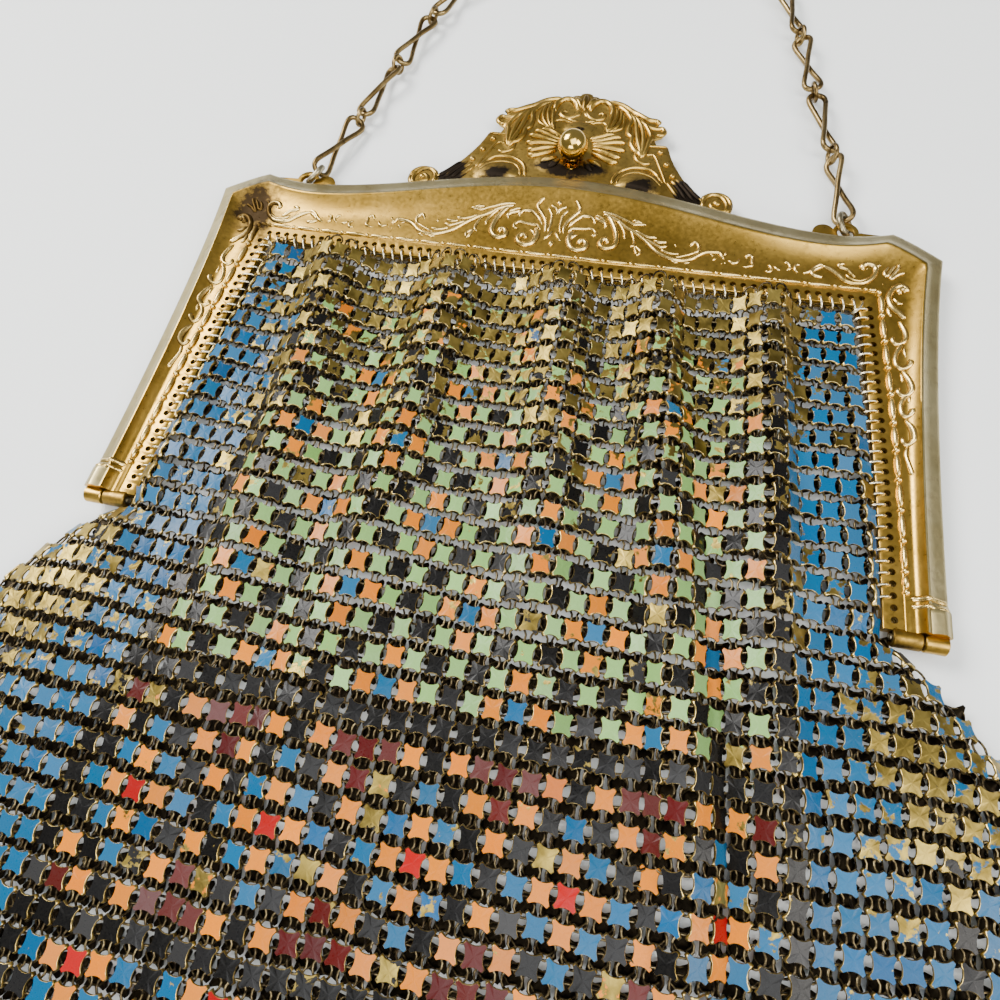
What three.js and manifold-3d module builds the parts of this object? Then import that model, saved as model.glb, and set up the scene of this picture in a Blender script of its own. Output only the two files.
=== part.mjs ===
import * as THREE from 'three';
import Module from 'manifold-3d';

const wasm = await Module();
wasm.setup();
const Solid = wasm.Manifold;

// Sizes in millimetres. While the pieces are made, x runs across the purse and y runs up from the
// top row of holes. The table is at z = 0 and the seam between the frame halves at z = HALF_DEPTH.

// Frame, in plan
const HOLE_PITCH = 1.93;
const HOLE_RADIUS = 0.56;
const OPENING_HALF_TOP = 58.5;      // inner edge of the flange at its top corner, from the centre
const OPENING_HALF_FOOT = 63.4;     // the same at the foot
const OPENING_BOW = 0.5;            // how far the inner edge of an arm bows out between the two
const OPENING_CORNER = 1.3;         // cut across the inner corner
const INNER_TO_HOLES = 1.7;
const INNER_TO_BORDER = 3.65;
const CORNER_HALF = 73.1;           // outer corner, from the centre
const CORNER_Y = 10.8;
const WAIST_HALF = 71.8;
const FOOT_HALF = 73.1;
const FOOT_Y = -61.6;
const APEX_HALF = 64.3;             // where the top edge turns down to the corner
const APEX_LIFT = 1.5;              // apex above the lowest part of the top edge
const TOP_DIP_Y = 14.6;             // lowest part of the top edge
const TOP_RISE = 7.9;               // centre of the top edge above its lowest part
const BEVEL_TOP = 4.7;              // width of the bevel outside the ridge, top bar
const BEVEL_SIDE = 3.7;             // the same, arms
const STRAP_Y = -56.4;              // raised line across the foot
const STRAP_RADIUS = 0.4;

// Frame, in depth, from the seam
const HALF_DEPTH = 2.8;
const SEAM_GAP = 0.3;
const FLANGE_WALL = 0.8;
const RIM_HEIGHT = 0.7;
const RIM_WALL = 1.0;
const SHEET = 1.0;
const BORDER_LIFT = 0.35;
const BORDER_HALF_WIDTH = 0.5;
const COVE_LIFT = 0.4;
const RIDGE_LAND = 0.45;
const FOOT_BULGE = 1.0;

// Relief on the top bar
const RELIEF_RADIUS = 0.42;
const RELIEF_HALF = 31;             // reach of the ornament from the centre
const RELIEF_BAND = 9.2;            // height of the band that it fills
const RELIEF_FOOT = 1.5;            // gap between the bead border and the ornament

// Hinges
const KNUCKLE_RADIUS = 1.5;
const KNUCKLE_FRONT_LENGTH = 3.4;
const KNUCKLE_BACK_LENGTH = 4.3;
const PIN_RADIUS = 0.6;
const PIN_CLEARANCE = 0.25;
const PIN_HEAD = 0.3;
const GAP = 0.3;                    // between neighbouring pieces

// Crest
const CREST_HALF = 30.9;            // centre of an end scroll, from the middle
const CREST_TOP_Y = 49.3;
const CREST_FOOT_Y = 20.3;          // centre of the end scrolls
const CREST_SCROLL_RADIUS = 3.3;
const CREST_THICKNESS = 0.9;
const CREST_TONGUE = 1.4;           // how far it reaches down behind the front rim
const CREST_RELIEF = 0.5;
const CREST_BOSS = 1.1;             // radius of the boss on an end scroll
const CREST_BEAD = 0.55;            // radius of a bead on the sloping bars
const CREST_LEAF = 0.75;            // half width of the leaf band along the arch
const CREST_LEAF_INSET = 1.1;
const VOLUTE_HALF = 3.6;            // centre of a volute under the shell, from the middle
const VOLUTE_DROP = 6.2;            // and below the crest's top
const VOLUTE_RADIUS = 2.3;
const VOLUTE_WIRE = 0.5;
const PETAL_REACH = 9.6;            // tips of the bow's petals, from the ball
const PETAL_WAVE = 0.4;
const PETAL_ROOT = 3.0;
const KNOB_Y = 29.9;
const KNOB_RADIUS = 3.15;
const KNOB_STEM_RADIUS = 1.1;
const KNOB_TRAVEL = 2.0;
const KNOB_CLEARANCE = 0.25;
const KNOB_COLLAR_RADIUS = 2.2;
const KNOB_COLLAR = 0.6;

// Lugs, jump rings and chain
const LUG_HALF = 55.9;              // centre of a lug's hole, from the middle
const LUG_HOLE_LIFT = 1.7;          // hole centre above the frame's edge
const LUG_HOLE_RADIUS = 1.6;
const LUG_WALL = 0.85;
const LUG_THICKNESS = 0.8;
const LUG_SHELF = 8.5;              // length of the low shelf beside the lobe
const RING_WIRE = 1.2;
const RING_RADIUS = 2.2;
const RING_TILT = 43;               // degrees from upright
const RING_LEAN_LEFT = 22;          // degrees by which the rings lean over to the right
const RING_LEAN_RIGHT = -3;
const LINK_WIRE = 1.1;
const LINK_WIDTH = 3.2;             // across the centre lines of a link
const LINK_FULLNESS = 0.2;          // makes the loops of a link drop-shaped
const LINK_TWIST = 0.62;            // half the height between the wires where they cross
const LINK_ROLL = 14;               // degrees, one way and then the other
const LINK_END_ROLL = 42;           // the same for the two links in the jump rings
const LINK_COUNT = 13;
const LOOP_WIRE = 0.9;
const LOOP_RADIUS = 1.75;
const LOOP_TILT = 12;
const LINK_BITE = 0.25;              // depth to which fused wires share metal

// Bag
const BAG_WALL = 1.0;
const BAG_GAP = 0.35;               // to the flange's inner edge, which the cloth hangs from
const BAG_HALF = 86.5;
const BAG_LENGTH = 160;             // mouth to bottom
const BAG_SHOULDER = 46;            // length over which it widens below the feet
const BAG_DEPTH_MOUTH = 5.7;
const BAG_DEPTH_BELLY = 7.6;
const BAG_DEPTH_END = 3.6;
const BAG_SIDE_Z = 1.7;             // height at which front and back meet along the sides

// Ridges of the gathers, from left to right. across and width are shares of the bag's half width at
// that height, lift is in millimetres, reach is the share of the length over which it fades away,
// and drift moves it outward, as a share of the half width, on its way down.
const GATHERS = [
  { across: -0.92, width: 0.10, lift: 0.7, reach: 0.55, drift: -0.02 },
  { across: -0.72, width: 0.17, lift: 1.7, reach: 0.90, drift: -0.06 },
  { across: -0.31, width: 0.19, lift: 1.9, reach: 0.95, drift: -0.04 },
  { across: 0.09, width: 0.17, lift: 1.9, reach: 1.00, drift: 0.03 },
  { across: 0.42, width: 0.16, lift: 1.8, reach: 0.95, drift: 0.02 },
  { across: 0.74, width: 0.15, lift: 1.6, reach: 0.80, drift: 0.03 },
];

// Outline of one half of the crest above its end scroll. out is a share of CREST_HALF, and up is a
// share of the height from the end scroll's centre to the top.
const CREST_OUTLINE = [
  { out: 0.868, up: 0.015 }, { out: 0.793, up: 0.137 }, { out: 0.741, up: 0.262 },
  { out: 0.672, up: 0.388 }, { out: 0.608, up: 0.493 }, { out: 0.518, up: 0.517 },
  { out: 0.556, up: 0.580 }, { out: 0.531, up: 0.647 }, { out: 0.545, up: 0.700 },
  { out: 0.503, up: 0.755 }, { out: 0.400, up: 0.838 }, { out: 0.288, up: 0.895 },
  { out: 0.165, up: 0.925 }, { out: 0.100, up: 0.937 }, { out: 0.062, up: 0.975 },
];

// Scrolls in relief on one half of the top bar. out and up are shares of RELIEF_HALF and
// RELIEF_BAND, size is a share of RELIEF_BAND, start and turn are in degrees.
const SCROLLS = [
  { out: 0.135, up: 0.26, size: 0.24, start: 200, turn: -400 },
  { out: 0.400, up: 0.34, size: 0.24, start: 150, turn: 400 },
];
// Stems in relief: each runs from one point over a second to a third.
const STEMS = [
  { out1: 0.025, up1: 0.20, out2: 0.050, up2: 0.62, out3: 0.135, up3: 0.95 },
  { out1: 0.300, up1: 0.78, out2: 0.560, up2: 0.50, out3: 1.000, up3: 0.12 },
];

// Route of the chain from the left link's eye to the right one, past the frame's top edge. up is
// measured from the holes of the lugs.
const CHAIN_ROUTE = [
  { x: -51.3, up: 12.0 }, { x: -49.4, up: 23.0 }, { x: -45.2, up: 41.2 }, { x: -40.4, up: 60.2 },
  { x: -31.0, up: 77.5 }, { x: -18.0, up: 90.5 }, { x: -6.0, up: 96.0 }, { x: 8.0, up: 96.5 },
  { x: 21.5, up: 92.0 }, { x: 36.0, up: 80.5 }, { x: 44.4, up: 57.0 }, { x: 49.2, up: 35.0 },
  { x: 53.5, up: 18.0 }, { x: 55.9, up: 10.0 },
];

// Smoothness
const TOP_STATIONS = 9;
const ARM_STATIONS = 4;
const HOLE_SIDES = 4;
const KNUCKLE_SIDES = 9;
const WIRE_SIDES = 5;
const LINK_STEPS = 12;
const LOOP_STEPS = 10;
const BAG_TOP_ROWS = 3;
const BAG_SHOULDER_ROWS = 4;
const BAG_LOW_ROWS = 3;
const BAG_FRONT_STEPS = 24;
const BAG_BACK_STEPS = 6;

const rad = THREE.MathUtils.degToRad;
const lerp = THREE.MathUtils.lerp;
const clamp = THREE.MathUtils.clamp;
const smooth = (t) => { const k = clamp(t, 0, 1); return k * k * (3 - 2 * k); };
const v3 = (x, y, z) => new THREE.Vector3(x, y, z);

// A closed solid from corner points and triangles.
function solidFrom(points, triangles) {
  const vertProperties = new Float32Array(points.length * 3);
  points.forEach((p, i) => vertProperties.set([p.x, p.y, p.z], i * 3));
  return new Solid(new wasm.Mesh({ numProp: 3, vertProperties, triVerts: new Uint32Array(triangles.flat()) }));
}

// Joins equal corners of a three.js geometry and makes it a closed solid.
function solidFromGeometry(geometry) {
  const position = geometry.getAttribute('position');
  const count = geometry.index ? geometry.index.count : position.count;
  const points = [];
  const seen = new Map();
  const corner = (i) => {
    const v = new THREE.Vector3().fromBufferAttribute(position, geometry.index ? geometry.index.getX(i) : i);
    const key = [v.x, v.y, v.z].map((c) => Math.round(c * 1e4)).join();
    if (!seen.has(key)) { seen.set(key, points.length); points.push(v); }
    return seen.get(key);
  };
  const triangles = [];
  for (let i = 0; i < count; i += 3) {
    const t = [corner(i), corner(i + 1), corner(i + 2)];
    if (t[0] !== t[1] && t[1] !== t[2] && t[0] !== t[2]) triangles.push(t);
  }
  return solidFrom(points, triangles);
}

// Skin through rings of the same number of points. An open run is capped with flat ends whose
// outlines are read in the two given coordinates.
function skin(rings, closed, flat) {
  const n = rings[0].length;
  const points = rings.flat();
  const triangles = [];
  const last = closed ? rings.length : rings.length - 1;
  for (let k = 0; k < last; k += 1) {
    const a = k * n;
    const b = ((k + 1) % rings.length) * n;
    for (let i = 0; i < n; i += 1) {
      const j = (i + 1) % n;
      triangles.push([a + i, a + j, b + j], [a + i, b + j, b + i]);
    }
  }
  if (!closed) {
    const cap = (ring) => THREE.ShapeUtils.triangulateShape(
      ring.map((p) => new THREE.Vector2(p[flat[0]], p[flat[1]])), []);
    const turn = (t, base) => [base + t[2], base + t[1], base + t[0]];
    const keep = (t, base) => [base + t[0], base + t[1], base + t[2]];
    const area = (ring) => THREE.ShapeUtils.area(ring.map((p) => new THREE.Vector2(p[flat[0]], p[flat[1]])));
    const first = rings[0];
    const final = rings[rings.length - 1];
    const base = (rings.length - 1) * n;
    const up = (t, ring) => Math.sign(THREE.ShapeUtils.area(
      t.map((i) => new THREE.Vector2(ring[i][flat[0]], ring[i][flat[1]])))) === Math.sign(area(ring));
    cap(first).forEach((t) => triangles.push(up(t, first) ? turn(t, 0) : keep(t, 0)));
    cap(final).forEach((t) => triangles.push(up(t, final) ? keep(t, base) : turn(t, base)));
  }
  return outward(points, triangles);
}

// Turns a closed skin so that it faces out.
function outward(points, triangles) {
  let volume = 0;
  triangles.forEach(([a, b, c]) => { volume += points[a].dot(points[b].clone().cross(points[c])); });
  return solidFrom(points, volume > 0 ? triangles : triangles.map(([a, b, c]) => [a, c, b]));
}

// Round wire along points, closed or with flat ends. taper gives the radius' share at each point.
function wire(path, radius, sides, closed, taper = () => 1) {
  const n = path.length;
  const tangent = (i) => {
    const a = closed ? path[(i + n - 1) % n] : path[Math.max(0, i - 1)];
    const b = closed ? path[(i + 1) % n] : path[Math.min(n - 1, i + 1)];
    return b.clone().sub(a).normalize();
  };
  const frames = [];
  let side = v3(0, 0, 1);
  if (Math.abs(tangent(0).z) > 0.9) side = v3(1, 0, 0);
  for (let i = 0; i < n; i += 1) {
    const t = tangent(i);
    side = side.clone().addScaledVector(t, -side.dot(t)).normalize();
    frames.push({ t, side });
  }
  let twist = 0;
  if (closed) {
    const t = frames[0].t;
    const end = side.clone().addScaledVector(t, -side.dot(t)).normalize();
    twist = Math.atan2(end.clone().cross(frames[0].side).dot(t), end.dot(frames[0].side));
  }
  const rings = frames.map((f, i) => {
    const other = f.t.clone().cross(f.side);
    const r = radius * taper(i / (n - 1));
    const roll = twist * i / n;
    return Array.from({ length: sides }, (_, s) => {
      const a = 2 * Math.PI * s / sides + roll;
      return path[i].clone().addScaledVector(f.side, r * Math.cos(a)).addScaledVector(other, r * Math.sin(a));
    });
  });
  if (closed) return skinClosed(rings);
  return skinEnds(rings);
}

function skinClosed(rings) {
  return skin(rings, true);
}

// Skin with ends closed by fans from the first corner, for convex ends.
function skinEnds(rings) {
  const n = rings[0].length;
  const points = rings.flat();
  const triangles = [];
  for (let k = 0; k + 1 < rings.length; k += 1) {
    for (let i = 0; i < n; i += 1) {
      const a = k * n + i;
      const b = k * n + (i + 1) % n;
      triangles.push([a, b, b + n], [a, b + n, a + n]);
    }
  }
  const base = (rings.length - 1) * n;
  for (let i = 1; i + 1 < n; i += 1) {
    triangles.push([0, i + 1, i], [base, base + i, base + i + 1]);
  }
  return outward(points, triangles);
}

// Flat plate from an outline in x and y.
function plate(outline, z0, z1, holes = []) {
  const shape = new THREE.Shape(outline.map((p) => new THREE.Vector2(p[0], p[1])));
  holes.forEach((h) => shape.holes.push(new THREE.Path(h.map((p) => new THREE.Vector2(p[0], p[1])))));
  const geometry = new THREE.ExtrudeGeometry(shape, { depth: z1 - z0, bevelEnabled: false, steps: 1 });
  return solidFromGeometry(geometry.translate(0, 0, z0));
}

function circle(x, y, r, sides, start = 0) {
  return Array.from({ length: sides }, (_, i) => {
    const a = start + 2 * Math.PI * i / sides;
    return [x + r * Math.cos(a), y + r * Math.sin(a)];
  });
}

// Bar along x.
function rodX(x0, x1, y, z, r, sides) {
  const ring = (x) => Array.from({ length: sides }, (_, i) => {
    const a = 2 * Math.PI * (i + 0.5) / sides;
    return v3(x, y + r * Math.cos(a), z + r * Math.sin(a));
  });
  return skinEnds([ring(x0), ring(x1)]);
}

const join = (parts) => Solid.union(parts);

// Plan of the frame

const INNER_TOP_Y = -INNER_TO_HOLES;
const BORDER_Y = INNER_TOP_Y + INNER_TO_BORDER;
const APEX_Y = TOP_DIP_Y + APEX_LIFT;
const DIP_SHARE = 0.84;

function topEdgeY(x) {
  const s = Math.abs(x) / APEX_HALF;
  const arch = (1 + Math.cos(Math.PI * Math.min(1, s / DIP_SHARE))) / 2;
  const lift = Math.max(0, s - DIP_SHARE) / (1 - DIP_SHARE);
  return TOP_DIP_Y + TOP_RISE * arch ** 0.85 + APEX_LIFT * Math.min(lift, 1.6) ** 2;
}

function armInnerX(y) {
  const t = clamp((INNER_TOP_Y - y) / (INNER_TOP_Y - FOOT_Y), 0, 1);
  return lerp(OPENING_HALF_TOP, OPENING_HALF_FOOT, t) + OPENING_BOW * Math.sin(Math.PI * t);
}

function armOuterX(y) {
  const t = clamp((CORNER_Y - y) / (CORNER_Y - FOOT_Y), 0, 1);
  return WAIST_HALF + (CORNER_HALF - WAIST_HALF) * (1 - t) ** 5 + (FOOT_HALF - WAIST_HALF) * t ** 3;
}

// Rails at each station of the right half: inner edge, bead border, ridge and outer edge.
function stationsRight() {
  const list = [];
  for (let k = 0; k <= TOP_STATIONS; k += 1) {
    const s = k / TOP_STATIONS;
    const x = s * APEX_HALF;
    const ridgeX = s * (APEX_HALF - 0.4 * BEVEL_TOP);
    list.push({
      inner: [s * (OPENING_HALF_TOP - OPENING_CORNER), INNER_TOP_Y],
      border: [s * (OPENING_HALF_TOP + INNER_TO_BORDER - OPENING_CORNER), BORDER_Y],
      ridge: [ridgeX, topEdgeY(x) - BEVEL_TOP + 0.5 * s ** 6],
      outer: [x, topEdgeY(x)], bulge: 0,
    });
  }
  list.push({
    inner: [OPENING_HALF_TOP, INNER_TOP_Y - OPENING_CORNER],
    border: [OPENING_HALF_TOP + INNER_TO_BORDER, BORDER_Y - OPENING_CORNER],
    ridge: [CORNER_HALF - BEVEL_SIDE - 0.2, CORNER_Y - 0.6 * BEVEL_TOP],
    outer: [CORNER_HALF, CORNER_Y], bulge: 0,
  });
  const innerStart = INNER_TOP_Y - OPENING_CORNER;
  const shares = Array.from({ length: ARM_STATIONS }, (_, k) => (k + 1) / ARM_STATIONS);
  const strap = (CORNER_Y - STRAP_Y) / (CORNER_Y - FOOT_Y);
  const arm = shares.map((t) => t * strap).concat([(1 + strap) / 2, 1]);
  arm.forEach((t) => {
    const y = lerp(innerStart, FOOT_Y, t);
    const outerY = lerp(CORNER_Y, FOOT_Y, t);
    const bulge = t > strap ? 1 : 0;
    list.push({
      inner: [armInnerX(y), y],
      border: [armInnerX(y) + INNER_TO_BORDER, lerp(BORDER_Y - OPENING_CORNER, FOOT_Y, t)],
      ridge: [armOuterX(outerY) - BEVEL_SIDE - 0.35 * bulge * FOOT_BULGE,
        lerp(CORNER_Y - 0.6 * BEVEL_TOP, FOOT_Y, t)],
      outer: [armOuterX(outerY), outerY], bulge,
    });
  });
  return list;
}

const mirrorX = (p) => [-p[0], p[1]];
const right = stationsRight();
const left = right.slice(1).reverse().map((s) => ({
  inner: mirrorX(s.inner), border: mirrorX(s.border), ridge: mirrorX(s.ridge), outer: mirrorX(s.outer),
  bulge: s.bulge,
}));
const stations = left.concat(right);

const SEAM = SEAM_GAP / 2;
const FLANGE_TOP = SEAM + FLANGE_WALL;
const COVE_SHARE = 0.6;

// Moulding of one frame half. face is 1 for the front and -1 for the back.
function moulding(face) {
  const at = (a, b, share) => [lerp(a[0], b[0], share), lerp(a[1], b[1], share)];
  const along = (a, b, distance) => at(a, b, distance / Math.hypot(b[0] - a[0], b[1] - a[1]));
  const rings = stations.map((s) => {
    const cove = at(s.border, s.ridge, COVE_SHARE);
    const rows = [
      [s.inner, FLANGE_TOP],
      [along(s.border, s.inner, BORDER_HALF_WIDTH), FLANGE_TOP],
      [s.border, FLANGE_TOP + BORDER_LIFT],
      [cove, FLANGE_TOP + COVE_LIFT],
      [s.ridge, HALF_DEPTH],
      [along(s.ridge, s.outer, RIDGE_LAND), HALF_DEPTH],
      [s.outer, RIM_HEIGHT + s.bulge * FOOT_BULGE],
      [s.outer, SEAM],
      [along(s.outer, s.ridge, RIM_WALL), SEAM],
      [s.ridge, HALF_DEPTH - SHEET],
      [cove, FLANGE_TOP + COVE_LIFT - FLANGE_WALL],
      [s.border, SEAM],
      [s.inner, SEAM],
    ];
    return rows.map(([p, z]) => v3(p[0], p[1], HALF_DEPTH + face * z));
  });
  return skin(rings, false, ['x', 'z']);
}

// Centres of the flange's holes: the top row and one row down each arm.
function holeCentres() {
  const half = Math.round(OPENING_HALF_TOP / HOLE_PITCH + 0.5);
  const top = Array.from({ length: 2 * half }, (_, i) => [(i + 0.5 - half) * HOLE_PITCH, 0]);
  const first = INNER_TOP_Y - 0.25 * HOLE_PITCH;
  const count = Math.floor((first - FOOT_Y - 0.6 * HOLE_PITCH) / HOLE_PITCH) + 1;
  const arm = Array.from({ length: count }, (_, i) => {
    const y = first - i * HOLE_PITCH;
    return [armInnerX(y) + INNER_TO_HOLES, y];
  });
  return top.concat(arm, arm.map(mirrorX));
}

const HINGE_Y = FOOT_Y - 0.6 * KNUCKLE_RADIUS;
const KNUCKLE_OUTER_X = FOOT_HALF - GAP;
const KNUCKLE_MID_X = KNUCKLE_OUTER_X - KNUCKLE_FRONT_LENGTH;
const KNUCKLE_BACK_X = KNUCKLE_MID_X - GAP;
const KNUCKLE_INNER_X = KNUCKLE_BACK_X - KNUCKLE_BACK_LENGTH;

// Adds this half's knuckles, clears the space of the other half's, and bores them.
function withKnuckles(body, own, other) {
  let out = body;
  [1, -1].forEach((side) => {
    const bar = ([a, b], r, extra) => rodX(side * a + (side * a > side * b ? extra : -extra),
      side * b + (side * a > side * b ? -extra : extra), HINGE_Y, HALF_DEPTH, r, KNUCKLE_SIDES);
    out = out.subtract(bar(other, KNUCKLE_RADIUS + GAP, GAP));
    out = out.add(bar(own, KNUCKLE_RADIUS, 0));
    out = out.subtract(bar([KNUCKLE_INNER_X, KNUCKLE_OUTER_X], PIN_RADIUS + PIN_CLEARANCE, 1));
  });
  return out;
}

const FRONT_KNUCKLE = [KNUCKLE_MID_X, KNUCKLE_OUTER_X];
const BACK_KNUCKLE = [KNUCKLE_INNER_X, KNUCKLE_BACK_X];

function hingePin(side) {
  const x0 = side * (KNUCKLE_INNER_X - PIN_HEAD);
  const x1 = side * (KNUCKLE_OUTER_X + PIN_HEAD);
  return rodX(Math.min(x0, x1), Math.max(x0, x1), HINGE_Y, HALF_DEPTH, PIN_RADIUS, 10);
}

// Relief on the front of the top bar.
function reliefZ() {
  return HALF_DEPTH + FLANGE_TOP + 0.5 * COVE_LIFT;
}

function scrollPath(s, mirror) {
  const steps = 7;
  return Array.from({ length: steps + 1 }, (_, i) => {
    const t = i / steps;
    const a = rad(s.start + s.turn * t);
    const r = s.size * RELIEF_BAND * (1 - 0.78 * t);
    const x = s.out * RELIEF_HALF + r * Math.cos(a);
    const y = BORDER_Y + RELIEF_FOOT + s.up * RELIEF_BAND + r * Math.sin(a);
    return v3(mirror * x, y, reliefZ());
  });
}

function stemPath(s, mirror) {
  const at = (out, up) => v3(mirror * out * RELIEF_HALF, BORDER_Y + RELIEF_FOOT + up * RELIEF_BAND, reliefZ());
  const curve = new THREE.QuadraticBezierCurve3(at(s.out1, s.up1), at(s.out2, s.up2), at(s.out3, s.up3));
  return curve.getPoints(3);
}

function relief() {
  const parts = [];
  [1, -1].forEach((m) => {
    SCROLLS.forEach((s) => parts.push(wire(scrollPath(s, m), RELIEF_RADIUS, 4, false)));
    STEMS.forEach((s) => parts.push(wire(stemPath(s, m), RELIEF_RADIUS, 4, false)));
  });
  return join(parts);
}

function strapLine(side) {
  const y = STRAP_Y;
  const outer = armOuterX(y);
  const path = [
    v3(side * (outer - BEVEL_SIDE - 0.4), y, 2 * HALF_DEPTH - 0.1),
    v3(side * (outer - BEVEL_SIDE + RIDGE_LAND), y, 2 * HALF_DEPTH - 0.05),
    v3(side * (outer - 0.15), y, HALF_DEPTH + RIM_HEIGHT),
  ];
  return wire(path, STRAP_RADIUS, 6, false);
}

// Crest

const CREST_Z0 = HALF_DEPTH - SEAM - CREST_THICKNESS;
const CREST_Z1 = HALF_DEPTH - SEAM;

// Lower edge of the crest, or of the space cut for it.
function crestLowerEdge(half, drop) {
  const steps = 10;
  return Array.from({ length: steps + 1 }, (_, i) => {
    const x = lerp(-half, half, i / steps);
    return [x, topEdgeY(x) - drop];
  });
}

// All that lies above that edge.
function aboveEdge(half, drop, z0, z1) {
  const far = CREST_TOP_Y + 5;
  return plate(crestLowerEdge(half, drop).concat([[half, far], [-half, far]]), z0, z1);
}

function crestPoint(row, side) {
  return [side * row.out * CREST_HALF, lerp(CREST_FOOT_Y, CREST_TOP_Y, row.up)];
}

// Everything straight above the crest's sheet and its end scrolls.
function plateOver(outline) {
  const top = CREST_Z1 + CREST_RELIEF + 3;
  const scrolls = [1, -1].map((m) => plate(circle(m * CREST_HALF, CREST_FOOT_Y, CREST_SCROLL_RADIUS, 14),
    CREST_Z0, top));
  return join([plate(outline, CREST_Z0, top)].concat(scrolls));
}

function crest() {
  const lower = crestLowerEdge(CREST_HALF, CREST_TONGUE);
  const reach = CREST_HALF + CREST_SCROLL_RADIUS;
  const rightSide = CREST_OUTLINE.map((r) => crestPoint(r, 1));
  const leftSide = CREST_OUTLINE.slice().reverse().map((r) => crestPoint(r, -1));
  const outline = lower.concat([[CREST_HALF, CREST_FOOT_Y]], rightSide, [[0, CREST_TOP_Y]], leftSide,
    [[-CREST_HALF, CREST_FOOT_Y]]);
  const slotHalf = KNOB_STEM_RADIUS + KNOB_CLEARANCE;
  const slot = [];
  circle(0, KNOB_Y, slotHalf, 12).slice(0, 7).forEach((p) => slot.push(p));
  circle(0, KNOB_Y - KNOB_TRAVEL, slotHalf, 12, Math.PI).slice(0, 7).forEach((p) => slot.push(p));
  const parts = [plate(outline, CREST_Z0, CREST_Z1)];
  const relief = [];
  const sunk = CREST_Z1 - 0.1;
  const top = CREST_Z1 + CREST_RELIEF;
  [1, -1].forEach((m) => {
    const cx = m * CREST_HALF;
    parts.push(plate(circle(cx, CREST_FOOT_Y, CREST_SCROLL_RADIUS, 14), CREST_Z0, CREST_Z1));
    relief.push(plate(circle(cx, CREST_FOOT_Y + 0.12 * CREST_SCROLL_RADIUS, CREST_BOSS, 6), sunk, top));
    // three small beads on the sloping bar
    [0.2, 0.32, 0.44].forEach((up, i) => {
      const out = 0.66 - 0.065 * i;
      relief.push(plate(circle(m * out * CREST_HALF, lerp(CREST_FOOT_Y, CREST_TOP_Y, up), CREST_BEAD, 5),
        sunk, top));
    });
    // leaf band along the arch, and the volute under the shell
    const arch = CREST_OUTLINE.slice(9, 13).map((r) => {
      const p = crestPoint(r, m);
      return v3(p[0] - m * CREST_LEAF_INSET * r.out, p[1] - CREST_LEAF_INSET, CREST_Z1 + 0.1);
    });
    relief.push(wire(arch, CREST_LEAF, 4, false, (t) => 0.6 + 0.4 * Math.sin(Math.PI * t)));
    const volute = Array.from({ length: 6 }, (_, i) => {
      const a = rad(m > 0 ? 60 + 58 * i : 120 - 58 * i);
      const r = VOLUTE_RADIUS * (1 - 0.1 * i);
      return v3(m * VOLUTE_HALF + r * Math.cos(a), CREST_TOP_Y - VOLUTE_DROP + r * Math.sin(a),
        CREST_Z1 + 0.1);
    });
    relief.push(wire(volute, VOLUTE_WIRE, 4, false));
    // petals of the bow
    const fan = [[m * PETAL_ROOT, KNOB_Y + PETAL_WAVE * PETAL_ROOT]];
    for (let i = 0; i <= 6; i += 1) {
      const a = rad(24 - 9 * i);
      const r = PETAL_REACH + (i % 2 ? PETAL_WAVE : -PETAL_WAVE);
      fan.push([m * r * Math.cos(a), KNOB_Y + r * Math.sin(a)]);
    }
    fan.push([m * PETAL_ROOT, KNOB_Y - 0.75 * PETAL_ROOT]);
    relief.push(plate(m > 0 ? fan.reverse() : fan, sunk, top));
  });
  // the relief stays on the plate, so that no bit of it bridges a notch of the outline
  const sheet = join(parts);
  const over = join(relief).intersect(plateOver(outline));
  return sheet.add(over).intersect(aboveEdge(reach + 1, CREST_TONGUE, CREST_Z0 - 1, top + 3))
    .subtract(plate(slot, CREST_Z0 - 1, top + 1));
}

// Ball, stem and collar, turned about the stem and centred on it.
function knob() {
  const face = CREST_Z1 + GAP;
  const back = CREST_Z0 - GAP;
  const centre = face + Math.sqrt(KNOB_RADIUS ** 2 - (KNOB_STEM_RADIUS + 0.5) ** 2);
  const profile = [];
  const low = Math.asin((KNOB_STEM_RADIUS + 0.5) / KNOB_RADIUS);
  for (let i = 0; i <= 7; i += 1) {
    const a = lerp(Math.PI - low, 0, i / 7);
    profile.push(new THREE.Vector2(i === 7 ? 0 : KNOB_RADIUS * Math.sin(a), centre + KNOB_RADIUS * Math.cos(a)));
  }
  const stem = [
    new THREE.Vector2(0, back - KNOB_COLLAR), new THREE.Vector2(KNOB_COLLAR_RADIUS, back - KNOB_COLLAR),
    new THREE.Vector2(KNOB_COLLAR_RADIUS, back), new THREE.Vector2(KNOB_STEM_RADIUS, back),
    new THREE.Vector2(KNOB_STEM_RADIUS, face),
  ];
  const geometry = new THREE.LatheGeometry(stem.concat(profile), 12);
  geometry.rotateX(Math.PI / 2);
  geometry.translate(0, KNOB_Y, 0);
  return solidFromGeometry(geometry);
}

// Lugs and rings

const LUG_Z0 = CREST_Z1 - LUG_THICKNESS;
const LUG_MID_Z = LUG_Z0 + LUG_THICKNESS / 2;
const LUG_Y = topEdgeY(LUG_HALF) + LUG_HOLE_LIFT;

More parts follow.
